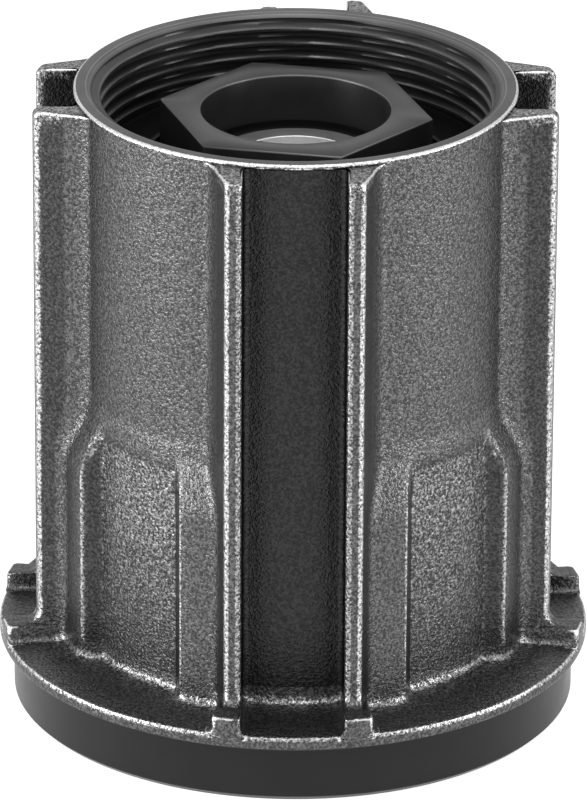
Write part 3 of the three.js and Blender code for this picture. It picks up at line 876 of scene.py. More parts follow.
        # Painted light on the recess's floor: strongest near the top of the feet and weaker lower
        # down.
        low = (height - self.flange_top) / (self.pad_top - self.flange_top)
        fade = 1 - self.recess_floor_fade * (1 - min(1.0, max(0.0, low)))
        floor = np.clip(2 - wall / self.recess_floor_band, 0, 1) * fade
        ridge = self.recess_worn * near
        worn[start:] = np.maximum(ridge, self.recess_floor_light * floor) * inside
        # Painted shade on the recess's drafted wall.
        band = self.recess_wall_band
        within = np.clip(wall / band, 0, 1) * np.clip((rise - wall) / band, 0, 1)
        shade[start:] = self.recess_shade * within
        return worn, shade

    def half_outline(self, height: float, inner: float, rib: dict[str, float]) -> np.ndarray:
        """Plan points of half a pair, from its groove's middle to the next pocket's middle.

        Args:
            height: The height above the ring's face.
            inner: The rib's groove side, across from the pair's middle.
            rib: Its outer radius, thickness, draft and edges, the foot's offset
                and the groove floor's radius.

        Returns:
            Across and outward positions, one row for each point.
        """
        count = self.counts
        offset = rib["offset"]
        floor = rib["floor"] + offset
        side = inner - offset + rib["inset"]
        outer = inner + rib["thickness"] + offset - rib["inset"]
        edge = rib["edge"]
        near = rib["groove_edge"]
        fillet = min(self.floor_fillet, side)
        points: list[tuple[float, float]] = []

        centre = (side - fillet, math.sqrt((floor + fillet) ** 2 - (side - fillet) ** 2))
        start = math.degrees(math.asin((side - fillet) / (floor + fillet)))
        for i in range(count["floor"]):
            angle = math.radians(start * i / count["floor"])
            points.append((floor * math.sin(angle), floor * math.cos(angle)))
        first = math.pi + math.atan2(centre[1], centre[0])
        points += arc(centre, fillet, first, FULL_TURN, count["fillet"])

        top = rib["radius"]
        corner = (side + near, math.sqrt((top - near) ** 2 - (side + near) ** 2))
        points += between((side, centre[1]), (side, corner[1]), count["wall"])
        outwards = math.atan2(corner[1], corner[0])
        points += arc(corner, near, math.pi, outwards, count["edge"])

        far = (outer - edge, math.sqrt((top - edge) ** 2 - (outer - edge) ** 2))
        near_az = math.atan2(corner[0], corner[1])
        far_az = math.atan2(far[0], far[1])
        for i in range(1, count["face"] + 1):
            angle = near_az + (far_az - near_az) * i / (count["face"] + 1)
            points.append((top * math.sin(angle), top * math.cos(angle)))
        slope = rib["draft"]
        flank_angle = math.atan(slope)
        outwards = math.atan2(far[1], far[0])
        points += arc(far, edge, outwards, flank_angle, count["edge"])

        share = self.pad_share(height)
        end_deg = self.root_end_deg + (self.pad_root_end_deg - self.root_end_deg) * share
        run = self.root_run + (self.pad_root_run - self.root_run) * share
        land = float(self.land(np.array([end_deg]), height)[0]) + offset
        end = (land * math.sin(math.radians(end_deg)), land * math.cos(math.radians(end_deg)))
        along = (math.cos(math.radians(end_deg)), -math.sin(math.radians(end_deg)))
        reference = rib["start"]
        gap = end[0] - outer - slope * (reference - end[1])
        step = gap / (along[0] + slope * along[1])
        bend = (end[0] - along[0] * step, end[1] - along[1] * step)
        begin_out = bend[1] + run
        begin = (outer + slope * (reference - begin_out), begin_out)
        points += between(points[-1], begin, count["flank"])
        for i in range(count["root"]):
            share = i / count["root"]
            keep = 1 - share
            points.append(
                tuple(
                    keep * keep * a + 2 * keep * share * b + share * share * c
                    for a, b, c in zip(begin, bend, end)
                )
            )
        degrees = np.linspace(end_deg, HALF_PAIR_DEG, count["land"] + 1)
        radii = self.land(degrees, height) + offset
        for angle, radius in zip(np.radians(degrees), radii):
            points.append((radius * math.sin(angle), radius * math.cos(angle)))
        return np.array(points)

    def groups(self) -> dict[str, tuple[int, int]]:
        """First and last column, exclusive, of each stretch of a half outline.

        Returns:
            The pairs, by name.
        """
        count = self.counts
        order = [
            ("floor", count["floor"]),
            ("fillet", count["fillet"]),
            ("wall", count["wall"]),
            ("edge_in", count["edge"]),
            ("face", count["face"]),
            ("edge_out", count["edge"]),
            ("flank", count["flank"]),
            ("root", count["root"]),
            ("land", count["land"] + 1),
        ]
        found, start = {}, 0
        for name, size in order:
            found[name] = (start, start + size)
            start += size
        return found

    def rib(self, **changes: float) -> dict[str, float]:
        """The plain rib's section, with some values changed.

        Args:
            changes: The values to change.

        Returns:
            The section.
        """
        section = {
            "radius": self.rib_radius,
            "thickness": self.rib_thickness,
            "draft": self.rib_draft,
            "edge": self.rib_edge,
            "groove_edge": self.rib_groove_edge,
            "start": self.rib_draft_start,
            "offset": 0.0,
            "inset": 0.0,
            "floor": self.groove_radius,
        }
        section.update(changes)
        return section

    def lug(self, **changes: float) -> dict[str, float]:
        """The section through a lug, with some values changed.

        Args:
            changes: The values to change.

        Returns:
            The section.
        """
        values = {
            "radius": self.flange_radius,
            "thickness": self.lug_width,
            "draft": self.lug_narrowing,
            "start": self.lug_draft_start,
        }
        values.update(changes)
        return self.rib(**values)

    def circle_columns(self, radius: float, inner: float) -> np.ndarray:
        """Even azimuths on a circle for each column of a half outline.

        Args:
            radius: The circle's radius.
            inner: The rib's groove side.

        Returns:
            Azimuths in degrees.
        """
        group = self.groups()
        total = group["land"][1]
        degrees = np.zeros(total)
        corner = math.degrees(math.asin(inner / radius))
        outer = math.degrees(math.asin((inner + self.lug_width) / radius))
        stops = [
            (0, 0.0),
            (group["wall"][1], corner),
            (group["edge_out"][1] - 1, outer),
            (group["land"][0], max(self.root_end_deg - 3, outer + 2)),
            (total - 1, HALF_PAIR_DEG),
        ]
        for (first, low), (last, high) in zip(stops, stops[1:]):
            for i in range(first, last + 1):
                degrees[i] = low + (high - low) * (i - first) / (last - first)
        return degrees

    def all_round(self, make: Callable[[bool, float], np.ndarray]) -> np.ndarray:
        """Joins eight half outlines into one loop.

        Args:
            make: Returns a half's points with their heights, given whether it is the
                index half and the groove side of its rib.

        Returns:
            X, Y and Z of each column.
        """
        plain = make(False, self.groove_half)
        index = make(True, self.index_inner)
        loop = []
        for pair in range(4):
            angle = math.radians(2 * HALF_PAIR_DEG * pair)
            turn = np.array(
                [[math.cos(angle), -math.sin(angle)], [math.sin(angle), math.cos(angle)]]
            )
            left = plain[1:-1][::-1].copy()
            right = (index if pair == self.index_pair else plain).copy()
            left[:, 0] *= -1
            for half in (left, right):
                flat = np.stack([half[:, 0], -half[:, 1]], axis=1) @ turn.T
                loop.append(np.column_stack([flat, half[:, 2]]))
        return np.concatenate(loop)

    def outline_ring(
        self, height: float, make: Callable[[bool], dict[str, float]]
    ) -> np.ndarray:
        """A ring of the outside at one height.

        Args:
            height: The height of every column.
            make: Returns the rib's section for a plain or an index half.

        Returns:
            X, Y and Z of each column.
        """
        return self.all_round(
            lambda index, inner: levelled(self.half_outline(height, inner, make(index)), height)
        )

    def circle_points(self, radius: float, base: float, inner: float) -> np.ndarray:
        """Plan points of half a circle.

        Args:
            radius: The circle's radius.
            base: The radius that its columns are spaced for.
            inner: The rib's groove side.

        Returns:
            Across and outward positions, one row for each point.
        """
        angles = np.radians(self.circle_columns(base, inner))
        return radius * np.column_stack([np.sin(angles), np.cos(angles)])

    def circle_ring(self, radius: float, height: float, base: float) -> np.ndarray:
        """A plain circle ring.

        Args:
            radius: The circle's radius.
            height: Its height.
            base: The radius that its columns are spaced for.

        Returns:
            X, Y and Z of each column.
        """
        return self.all_round(
            lambda _, inner: levelled(self.circle_points(radius, base, inner), height)
        )

    def footed_half(self, inner: float, radius: float, height: float) -> np.ndarray:
        """Half a ring of the flange's edge whose lug columns follow the lug's foot.

        Args:
            inner: The rib's groove side.
            radius: The ring's radius beside the lug.
            height: The ring's height.

        Returns:
            X, Y and Z of each column of the half.
        """
        points = self.circle_points(radius, self.flange_radius, inner)
        foot = self.half_outline(self.flange_top, inner, self.lug(offset=self.foot_fillet))
        group = self.groups()
        low, high = group["edge_in"][0], group["edge_out"][1]
        points[low:high] = foot[low:high]
        return levelled(points, height)

    def flange_rings(self) -> list[np.ndarray]:
        """Rings from the flange's inboard face to the top of the lugs.

        Returns:
            X, Y and Z of each column, ring by ring.
        """
        radius, top, edge = self.flange_radius, self.flange_top, self.flange_edge
        rounded = ROUND_SHARE * edge
        rings = [
            self.circle_ring(radius - edge, self.flange_bottom, radius),
            self.circle_ring(radius - rounded, self.flange_bottom + rounded, radius),
            self.circle_ring(radius, self.flange_bottom + edge, radius),
            self.circle_ring(radius, (self.flange_bottom + top) / 2, radius),
        ]
        edge = self.flange_top_edge
        rounded = ROUND_SHARE * edge
        rings.append(self.circle_ring(radius, top - edge, radius))
        for inset, drop in ((rounded, rounded), (edge, 0.0)):
            rings.append(
                self.all_round(lambda _, inner: self.footed_half(inner, radius - inset, top - drop))
            )
        for step in range(self.round_steps + 1):
            angle = math.pi / 2 * step / self.round_steps
            offset = self.foot_fillet * (1 - math.sin(angle))
            height = top + self.foot_fillet * (1 - math.cos(angle))
            rings.append(self.outline_ring(height, lambda index: self.lug(offset=offset)))
        lug_top = top + self.lug_height
        for drop, share in ((1.0, 0.0), (ROUND_SHARE, ROUND_SHARE), (0.0, 1.0)):
            inset = self.lug_edge * share
            rings.append(
                self.outline_ring(
                    lug_top - self.lug_edge * drop,
                    lambda index: self.lug(
                        radius=self.flange_radius - inset,
                        thickness=self.lug_width - inset,
                    ),
                )
            )
        return rings

    def rib_rings(self) -> list[np.ndarray]:
        """Rings from the top of the lugs to the tops of the ribs.

        Returns:
            X, Y and Z of each column, ring by ring.
        """
        rings = []
        lug_top = self.flange_top + self.lug_height
        swell = self.flange_radius - self.lug_flat - self.rib_radius
        for step in range(self.lug_steps + 1):
            angle = math.pi / 2 * step / self.lug_steps
            reach = self.rib_radius + swell * (1 - math.sin(angle))
            height = lug_top + self.lug_fillet * (1 - math.cos(angle))
            rings.append(self.outline_ring(height, lambda index: self.rib(radius=reach)))
        start = lug_top + self.lug_fillet
        crown = self.pad_top + self.pad_ramp + self.crown_over
        steps = round((crown - start) / self.pad_step)
        for step in range(1, steps + 1):
            height = start + (crown - start) * step / steps
            rings.append(self.outline_ring(height, lambda index: self.rib()))
        below = self.rim_top - self.index_drop - self.rib_corner - self.corner_clear
        for step in range(1, self.rib_steps + 1):
            height = crown + (below - crown) * step / self.rib_steps
            rings.append(self.outline_ring(height, lambda index: self.rib()))
        return rings + self.top_rings()

    def top_rings(self) -> list[np.ndarray]:
        """Rings over the rounded tops of the ribs and in to the rim's wall.

        Returns:
            X, Y and Z of each column, ring by ring.
        """
        group = self.groups()
        total = group["land"][1]
        fade = np.ones(total)
        root = group["root"][0]
        fade[root:] = np.linspace(1, 0, total - root)
        fade[: group["wall"][0]] = np.linspace(0, 1, group["wall"][0])
        rings = []
        for drop in (self.rib_corner, *self.corner_drops, self.top_edge, *self.edge_drops, 0.0):
            back = max(0.0, self.rib_corner - drop)
            reach = self.rib_radius - self.rib_corner
            reach += math.sqrt(max(0.0, self.rib_corner**2 - back**2))
            over = max(0.0, self.top_edge - drop)
            inset = self.top_edge - math.sqrt(max(0.0, self.top_edge**2 - over**2))
            rings.append(self.dropped_ring(drop, reach, inset, fade, False))
        rings.append(self.dropped_ring(0.0, 0.0, 0.0, fade, True))
        return rings

    def dropped_ring(
        self, drop: float, reach: float, inset: float, fade: np.ndarray, flat: bool
    ) -> np.ndarray:
        """A ring near the rib tops, which sit lower on the index rib.

        Args:
            drop: The distance below each rib's top.
            reach: The ribs' outer radius there.
            inset: How far the ribs' sides are drawn in.
            fade: The share of the index rib's own drop in each column.
            flat: True for the ring where the rib tops meet the rim's wall.

        Returns:
            X, Y and Z of each column.
        """
        def half(index: bool, inner: float) -> np.ndarray:
            """The half's points, below the top of its own rib."""
            own = self.index_drop if index else self.rib_drop
            heights = self.rim_top - self.rib_drop - (own - self.rib_drop) * fade - drop
            if flat:
                angles = np.radians(self.wall_columns(inner))
                points = self.land_radius * np.column_stack([np.sin(angles), np.cos(angles)])
                return np.column_stack([points, heights])
            above = float(heights.max()) - self.rim_top + self.groove_lip
            share = min(1.0, max(0.0, 1 + above / self.lip_run))
            floor = self.groove_radius + (self.land_radius - self.groove_radius) * share
            section = self.rib(radius=reach, inset=inset, floor=floor)
            return np.column_stack([self.half_outline(self.rim_top, inner, section), heights])

        return self.all_round(half)

    def wall_columns(self, inner: float) -> np.ndarray:
        """Azimuths where each column of a rib's top meets the rim's wall.

        Args:
            inner: The rib's groove side.

        Returns:
            Azimuths in degrees.
        """
        group = self.groups()
        outline = self.half_outline(self.rim_top, inner, self.rib(floor=self.land_radius))
        degrees = np.degrees(np.arctan2(outline[:, 0], outline[:, 1]))
        corner = math.degrees(math.asin(inner / self.land_radius))
        degrees[group["wall"][0] : group["wall"][1]] = corner
        foot = degrees[group["root"][0] + 3]
        low, high = group["edge_in"][0], group["root"][0] + 3
        degrees[low:high] = np.linspace(corner, foot, high - low + 1)[:-1]
        degrees[: group["wall"][0]] = np.linspace(0, corner, group["wall"][0] + 1)[:-1]
        return degrees

    def mouth_rings(self) -> list[np.ndarray]:
        """Rings over the rim, down the thread and out through the bore.

        Returns:
            X, Y and Z of each column, ring by ring.
        """
        base = self.land_radius
        rim, top = self.rim_edge, self.rim_top
        rings = []
        for step in range(self.round_steps + 1):
            angle = math.pi / 2 * step / self.round_steps
            radius = base - rim * (1 - math.cos(angle))
            rings.append(self.circle_ring(radius, top - rim * (1 - math.sin(angle)), base))
        lip = self.thread_radius + self.chamfer
        for out, drop in self.lip_places:
            rings.append(self.circle_ring(lip + out, top - drop, base))
        depth = self.thread_start
        while depth < self.thread_length + self.thread_over:
            rings.append(self.thread_ring(depth))
            depth += self.thread_pitch / self.thread_steps
        rounding, web_edge = self.floor_rounding, self.web_edge
        rounded = ROUND_SHARE * rounding
        for radius, height in (
            (self.wall_radius, self.mouth_floor + rounding),
            (self.wall_radius - rounded, self.mouth_floor + rounded),
            (self.wall_radius - rounding, self.mouth_floor),
            (self.web_radius + web_edge, self.mouth_floor),
            (self.web_radius, self.mouth_floor - web_edge),
            (self.web_radius, self.web_bottom),
            (self.bore_radius, self.web_bottom),
            (self.bore_radius, self.retainer_top),
            (self.retainer_radius, self.retainer_top),
            (self.retainer_radius, self.flange_bottom),
        ):
            rings.append(self.circle_ring(radius, height, base))
        return rings

    def thread_wave(self, ring: np.ndarray) -> np.ndarray:
        """Place of each point of a ring in the thread, 0 on a crest and 1 in a root.

        Args:
            ring: X, Y and Z of each column.

        Returns:
            The place of each column.
        """
        depth = self.rim_top - ring[:, 2]
        angle = np.arctan2(ring[:, 1], ring[:, 0])
        turns = depth / self.thread_pitch + angle / FULL_TURN + self.thread_phase
        return 0.5 - 0.5 * np.cos(FULL_TURN * turns)

    def thread_ring(self, depth: float) -> np.ndarray:
        """A ring through the lockring thread at a depth below the rim.

        Args:
            depth: The depth, in millimetres.

        Returns:
            X, Y and Z of each column.
        """
        ring = self.circle_ring(1.0, self.rim_top - depth, self.land_radius)
        cut = np.clip(self.thread_wave(ring) * self.thread_gain - self.thread_flat, 0, 1)
        end = np.clip((self.thread_length - depth) / self.thread_run_out, 0, 1)
        radius = self.thread_crest + (self.thread_radius - self.thread_crest) * cut * end
        radius = radius + (self.wall_radius - self.thread_crest) * (1 - end)
        cone = self.thread_radius + self.chamfer - depth * self.chamfer / self.chamfer_depth
        radius = np.maximum(radius, cone)
        ring[:, 0] *= radius
        ring[:, 1] *= radius
        return ring

    def marks(self, flange: int, ribs: int, points: np.ndarray) -> dict[str, np.ndarray]:
        """Marks for machining, painted shade, worn edges with painted highlights, and the cover over
        edges that do not wear.

        Args:
            flange: How many rings the flange has.
            ribs: How many rings the ribs have.
            points: All rings.

        Returns:
            A value for each point, by name.
        """
        group = self.groups()
        rim = flange + ribs
        shape = points.shape[:2]
        found = {name: np.zeros(shape) for name in ("turned", "recess", "bare", "cover")}

        def around(half: np.ndarray) -> np.ndarray:
            """A half outline's values carried round the whole loop."""
            return np.concatenate([half[1:-1][::-1], half] * 4)

        def stretch(first: str, last: str, value: float) -> np.ndarray:
            """A value on the columns from one stretch to another, and 0 elsewhere."""
            half = np.zeros(group["land"][1])
            half[group[first][0] : group[last][1]] = value
            return around(half)

        lug = flange - self.lug_top_rings
        tops = rim - len(self.corner_drops) - len(self.edge_drops) - self.other_top_rings
        lip = rim + self.round_steps + 1
        thread = lip + len(self.lip_places)
        bore = len(points) - self.bore_rings
        web = bore + self.floor_rings
        found["turned"][lip - 1 : web] = 1.0
        found["turned"][web + 1 :] = 1.0
        # Painted shade on the groove floors and walls and, less strongly, on the rib flanks.
        groove = stretch("floor", "wall", 1.0) + stretch("flank", "flank", self.flank_shade)
        for ring in range(flange, rim):
            worn, shade = self.recess_marks(float(points[ring, 0, 2]))
            found["bare"][ring] = around(worn)
            found["recess"][ring] = np.maximum(groove, around(shade))
        # Painted highlight on the concave fillets where the feet and groove floors meet the flange.
        foot = np.maximum(stretch("floor", "fillet", 1.0), stretch("root", "land", 1.0))
        found["bare"][lug - self.round_steps - 1 : lug] = self.foot_highlight * foot
        ridge = stretch("edge_in", "edge_in", self.rib_in_worn)
        ridge += stretch("edge_out", "edge_out", self.rib_out_worn)
        upper = flange + self.lug_fade_rings
        found["bare"][upper:rim] = np.maximum(found["bare"][upper:rim], ridge)
        found["bare"][tops:rim] = stretch("wall", "flank", self.rib_top_worn)
        # Painted highlight on the rim's lip and the first thread ring.
        found["bare"][lip + 1 : thread] = self.thread_highlight
        found["bare"][thread + 1] = self.thread_highlight
        # Painted highlight on each crest, moved up by the crest shift onto the flank that faces up
        # towards the light.
        for ring in range(thread + 4, bore - 4):
            above = points[ring] - (0, 0, self.crest_shift)
            crest = np.clip(1 - self.thread_wave(above) / self.crest_share, 0, 1)
            found["bare"][ring] = self.thread_highlight * crest
        # Painted shade down the thread, over the mouth floor and through the bore.
        found["recess"][thread + 3 : bore] = 0.5
        found["recess"][bore:] = 1.0
        found["cover"][:rim] = stretch("edge_in", "edge_in", self.groove_edge_cover)
        found["cover"][:3] = self.flange_edge_cover
        found["cover"][lug : flange + 2] += stretch("flank", "root", self.lug_root_cover)
        found["cover"][lip:] = self.thread_cover
        return found

    def build(self) -> bmesh.types.BMesh:
        """Makes the whole shell with its marks for wear, machining, painted shade and painted
        highlights.

        Returns:
            The closed shape.
        """
        flange = self.flange_rings()
        ribs = self.rib_rings()
        points = np.stack(flange + ribs + self.mouth_rings())
        bm = wrapped_grid(points, self.marks(len(flange), len(ribs), points))
        mark_wear(bm, self.worn_radius, 0)
        return bm


@dataclass
class DriverSkirt:
    """The driver's inboard skirt, with a recess for each pawl and its heel."""

    outer: float = 16.1
    inner: float = 12.05
    low: float = 0.4
    high: float = 4.15
    edge: float = 0.25
    recess_floor: float = 13.3
    recess_low: float = 0.8
    recess_high: float = 4.05
    recess_end_deg: float = -26.6
    heel_radius: float = 14.55
    socket: float = 1.65
    first_pawl_deg: float = -102.0
    pawls: int = 3
    steps: int = 24
    worn_radius: float = 0.3

    def socket_floor(self, degrees: float) -> float:
        """Radius of the heel socket's inner side at an azimuth from the heel.

        Args:
            degrees: The azimuth.

        Returns:
            The radius.
        """
        across = self.heel_radius * math.sin(math.radians(degrees))
        reach = math.sqrt(max(0.0, self.socket**2 - across**2))
        return self.heel_radius * math.cos(math.radians(degrees)) - reach

    def columns(self) -> tuple[np.ndarray, np.ndarray]:
        """Azimuth of each column and the radius of the recess's floor there.

        Returns:
            Radians and radii.
        """
        degrees, floors = [], []
        socket_deg = math.degrees(math.asin(self.socket / self.heel_radius))
        sector = 360 / self.pawls
        for pawl in range(self.pawls):
            turn = self.first_pawl_deg + sector * pawl
            for i in range(self.steps):
                share = i / self.steps
                degrees.append(turn + socket_deg + (sector + self.recess_end_deg - socket_deg) * share)
                floors.append(self.outer)
            end = turn + sector + self.recess_end_deg
            degrees.append(end)
            floors.append(self.outer)
            for i in range(self.steps + 1):
                offset = self.recess_end_deg - (self.recess_end_deg - socket_deg) * i / self.steps
                degrees.append(turn + sector + offset)
                floor = self.recess_floor if offset <= 0 else self.outer
                if abs(offset) < socket_deg:
                    floor = min(floor, self.socket_floor(offset))
                floors.append(floor)
        return np.radians(degrees), np.array(floors)

    def build(self) -> bmesh.types.BMesh:
        """Makes the skirt as a loft round its own section.

        Returns:
            The closed shape.
        """
        angle, floor = self.columns()
        outer = np.full(len(angle), self.outer)
        inner = np.full(len(angle), self.inner)
        edge = self.edge
        section = [
            (inner, self.high),
            (inner, self.low + edge),
            (inner + ROUND_SHARE * edge, self.low + ROUND_SHARE * edge),
            (inner + edge, self.low),
            (outer - edge, self.low),
            (outer - ROUND_SHARE * edge, self.low + ROUND_SHARE * edge),
            (outer, self.low + edge),
            (outer, self.recess_low),
            (floor, self.recess_low),
            (floor, self.recess_high),
            (outer, self.recess_high),
            (outer, self.high),
        ]
        bm = loft(angle, section, {})
        mark_wear(bm, self.worn_radius)
        return bm


@dataclass
class RatchetRing:
    """The smooth black ring with saw teeth inside."""

    radius: float = 18.94
    height: float = 3.85
    chamfer: float = 0.3
    edge: float = 0.12
    root: float = 17.6
    tip: float = 16.6
    teeth: int = 24
    steep_deg: float = -126.2
    tip_share: float = 0.12
    ramp_steps: int = 6
    flat: float = 0.05
    worn_radius: float = 0.3

    def columns(self) -> tuple[np.ndarray, np.ndarray]:
        """Azimuth and inner radius of each column, round the whole ring.

        Returns:
            Degrees and radii.
        """
        pitch = 360 / self.teeth
        degrees, radii = [], []
        for tooth in range(self.teeth):
            steep = self.steep_deg - pitch * tooth
            degrees += [steep, steep, steep - pitch * self.tip_share]
            radii += [self.root, self.tip, self.tip]
            for step in range(1, self.ramp_steps):
                share = step / self.ramp_steps
                degrees.append(steep - pitch * (self.tip_share + (1 - self.tip_share) * share))
                radii.append(self.tip + (self.root - self.tip) * share)
        return np.array(degrees), np.array(radii)

    def build(self) -> bmesh.types.BMesh:
        """Makes the ring as a loft round its own section.

        Returns:
            The closed shape.
        """
        degrees, inner = self.columns()
        angle = np.radians(degrees)
        outer = np.full(len(inner), self.radius)
        edge = self.edge
        section = [
            (inner, edge),
            (inner + edge, 0.0),
            (outer - self.chamfer, 0.0),
            (outer, self.chamfer),
            (outer, self.chamfer + self.flat),
            (outer, self.height - edge - self.flat),
            (outer, self.height - edge),
            (outer - ROUND_SHARE * edge, self.height - ROUND_SHARE * edge),
            (outer - edge, self.height),
            (inner + edge, self.height),
            (inner, self.height - edge),
        ]
        bm = loft(angle, section, {})
        mark_wear(bm, self.worn_radius, 0)
        return bm


@dataclass
class EndNut:
    """The hexagonal nut in the mouth, counterbored over the sleeve."""

    low: float = 34.38
    high: float = 41.61
    across_flats: float = 16.0
    corner_deg: float = 19.0
    bore: float = 6.05
    pocket: float = 6.28
    pocket_depth: float = 3.21
    relief: float = 6.6
    relief_width: float = 0.6
    edge: float = 0.13
    corner_cut: float = 0.03
    sides: int = 6
    columns_each: int = 16
    front_edge_highlight: float = 0.9
    back_edge_highlight: float = 0.8
    worn_radius: float = 0.12
    relief_cut: float = 0.1

    def build(self) -> bmesh.types.BMesh:
        """Makes the nut as a loft from its hexagon in to its bore.

        Returns:
            The closed shape.
        """
        side_deg = 360 / self.sides
        count = self.sides * self.columns_each
        degrees = self.corner_deg + np.arange(count) * 360 / count
        angle = np.radians(degrees)
        within = np.radians((degrees - self.corner_deg) % side_deg - side_deg / 2)
        flat = self.across_flats / 2
        corner = flat / math.cos(math.radians(side_deg / 2))
        hexagon = np.minimum(flat / np.cos(within), corner - self.corner_cut)
        floor = self.high - self.pocket_depth
        edge = self.edge
        circle = np.ones(count)
        section = [
            (hexagon - edge, self.low),
            (hexagon, self.low + edge),
            (hexagon, self.high - edge),
            (hexagon - ROUND_SHARE * edge, self.high - ROUND_SHARE * edge),
            (hexagon - edge, self.high),
            (circle * (self.pocket + edge), self.high),
            (circle * (self.pocket + ROUND_SHARE * edge), self.high - ROUND_SHARE * edge),
            (circle * self.pocket, self.high - edge),
            (circle * self.pocket, floor),
            (circle * self.relief, floor - self.relief_cut),
            (circle * self.relief, floor - self.relief_width),
            (circle * self.bore, floor - self.relief_width - self.relief_cut),
            (circle * self.bore, self.low + edge),
            (circle * (self.bore + edge), self.low),
        ]
        # Painted highlights: the edges' bright mark is kept only on the hexagon's front and on the
        # back of the pocket's mouth, where they face the light.
        front = np.clip(np.cos(angle - math.radians(self.corner_deg)), 0, 1) ** 2
        highlight_cover = np.tile(1 - self.front_edge_highlight * front, (len(section), 1))
        pocket_mouth = slice(5, 8)
        highlight_cover[pocket_mouth] = 1 - self.back_edge_highlight * np.clip(-np.cos(angle), 0, 1)
        bm = loft(angle, section, {"cover": highlight_cover})
        mark_wear(bm, self.worn_radius, 0)
        return bm


@dataclass
class AxleSleeve:
    """The hollow axle sleeve with its shoulder."""

    bore: float = 4.1
    radius: float = 6.0
    shoulder: float = 7.6
    low: float = 0.6
    shoulder_top: float = 5.2
    high: float = 38.1
    chamfer: float = 0.5
    edge: float = 0.08
    worn_radius: float = 0.1
    bore_over: float = 0.02

    def build(self) -> bmesh.types.BMesh:
        """Makes the turned sleeve.

        Returns:
            The closed shape.
        """
        bm = turned(
            [
                (self.bore, self.low),
                (self.shoulder - self.chamfer, self.low),
                (self.shoulder, self.low + self.chamfer),
                (self.shoulder, self.shoulder_top),
                (self.radius, self.shoulder_top),
                (self.radius, self.high - self.chamfer),
                (self.radius - self.chamfer, self.high),
                (self.bore, self.high),
            ]
        )
        soften(bm, self.edge)
        mark_wear(bm, self.worn_radius, 0)
        # Painted highlight: the bore's wall gets the full bright mark.
        bright = bm.verts.layers.float["wear"]
        for vert in bm.verts:
            if vert.co.xy.length < (self.bore + self.bore_over) * MM:
                vert[bright] = 1.0
        return bm


@dataclass
class PlainRing:
    """A spacer or washer."""

    node: str
    inner: float
    outer: float
    edge: float = 0.2

    def build(self) -> bmesh.types.BMesh:
        """Makes the turned ring with its corners broken.

        Returns:
            The closed shape.
        """
        low, high = heights(self.node)
        corners = [(self.inner, low), (self.outer, low), (self.outer, high), (self.inner, high)]
        bm = turned(corners)
        soften(bm, self.edge)
        mark_wear(bm)
        return bm


@dataclass
class LipSeal:
    """A rubber seal pressed into the driver, with a lip that follows the axle."""

    node: str
    inner: float
    outer: float
    rim: float = 0.5
    dish_share: float = 0.25
    rim_shares: tuple[float, float, float] = (0.3, 0.6, 0.8)
    edge: float = 0.05
    corner_deg: float = 30.0

    def build(self) -> bmesh.types.BMesh:
        """Makes the turned seal, dished between its rim and its lip.

        Returns:
            The closed shape.
        """
        low, high = heights(self.node)
        dish = (high - low) * self.dish_share
        inner, outer, rim = self.inner, self.outer, self.rim
        lip, flat, slope = (share * rim for share in self.rim_shares)
        bm = turned(
            [
                (inner, low + dish),
                (inner + lip, low),
                (inner + flat, low),
                (inner + slope, low + dish),
                (outer - slope, low + dish),
                (outer - flat, low),
                (outer, low),
                (outer, high),
                (inner + rim, high),
                (inner, high - dish),
            ]
        )
        soften(bm, self.edge, self.corner_deg, 2)
        return bm


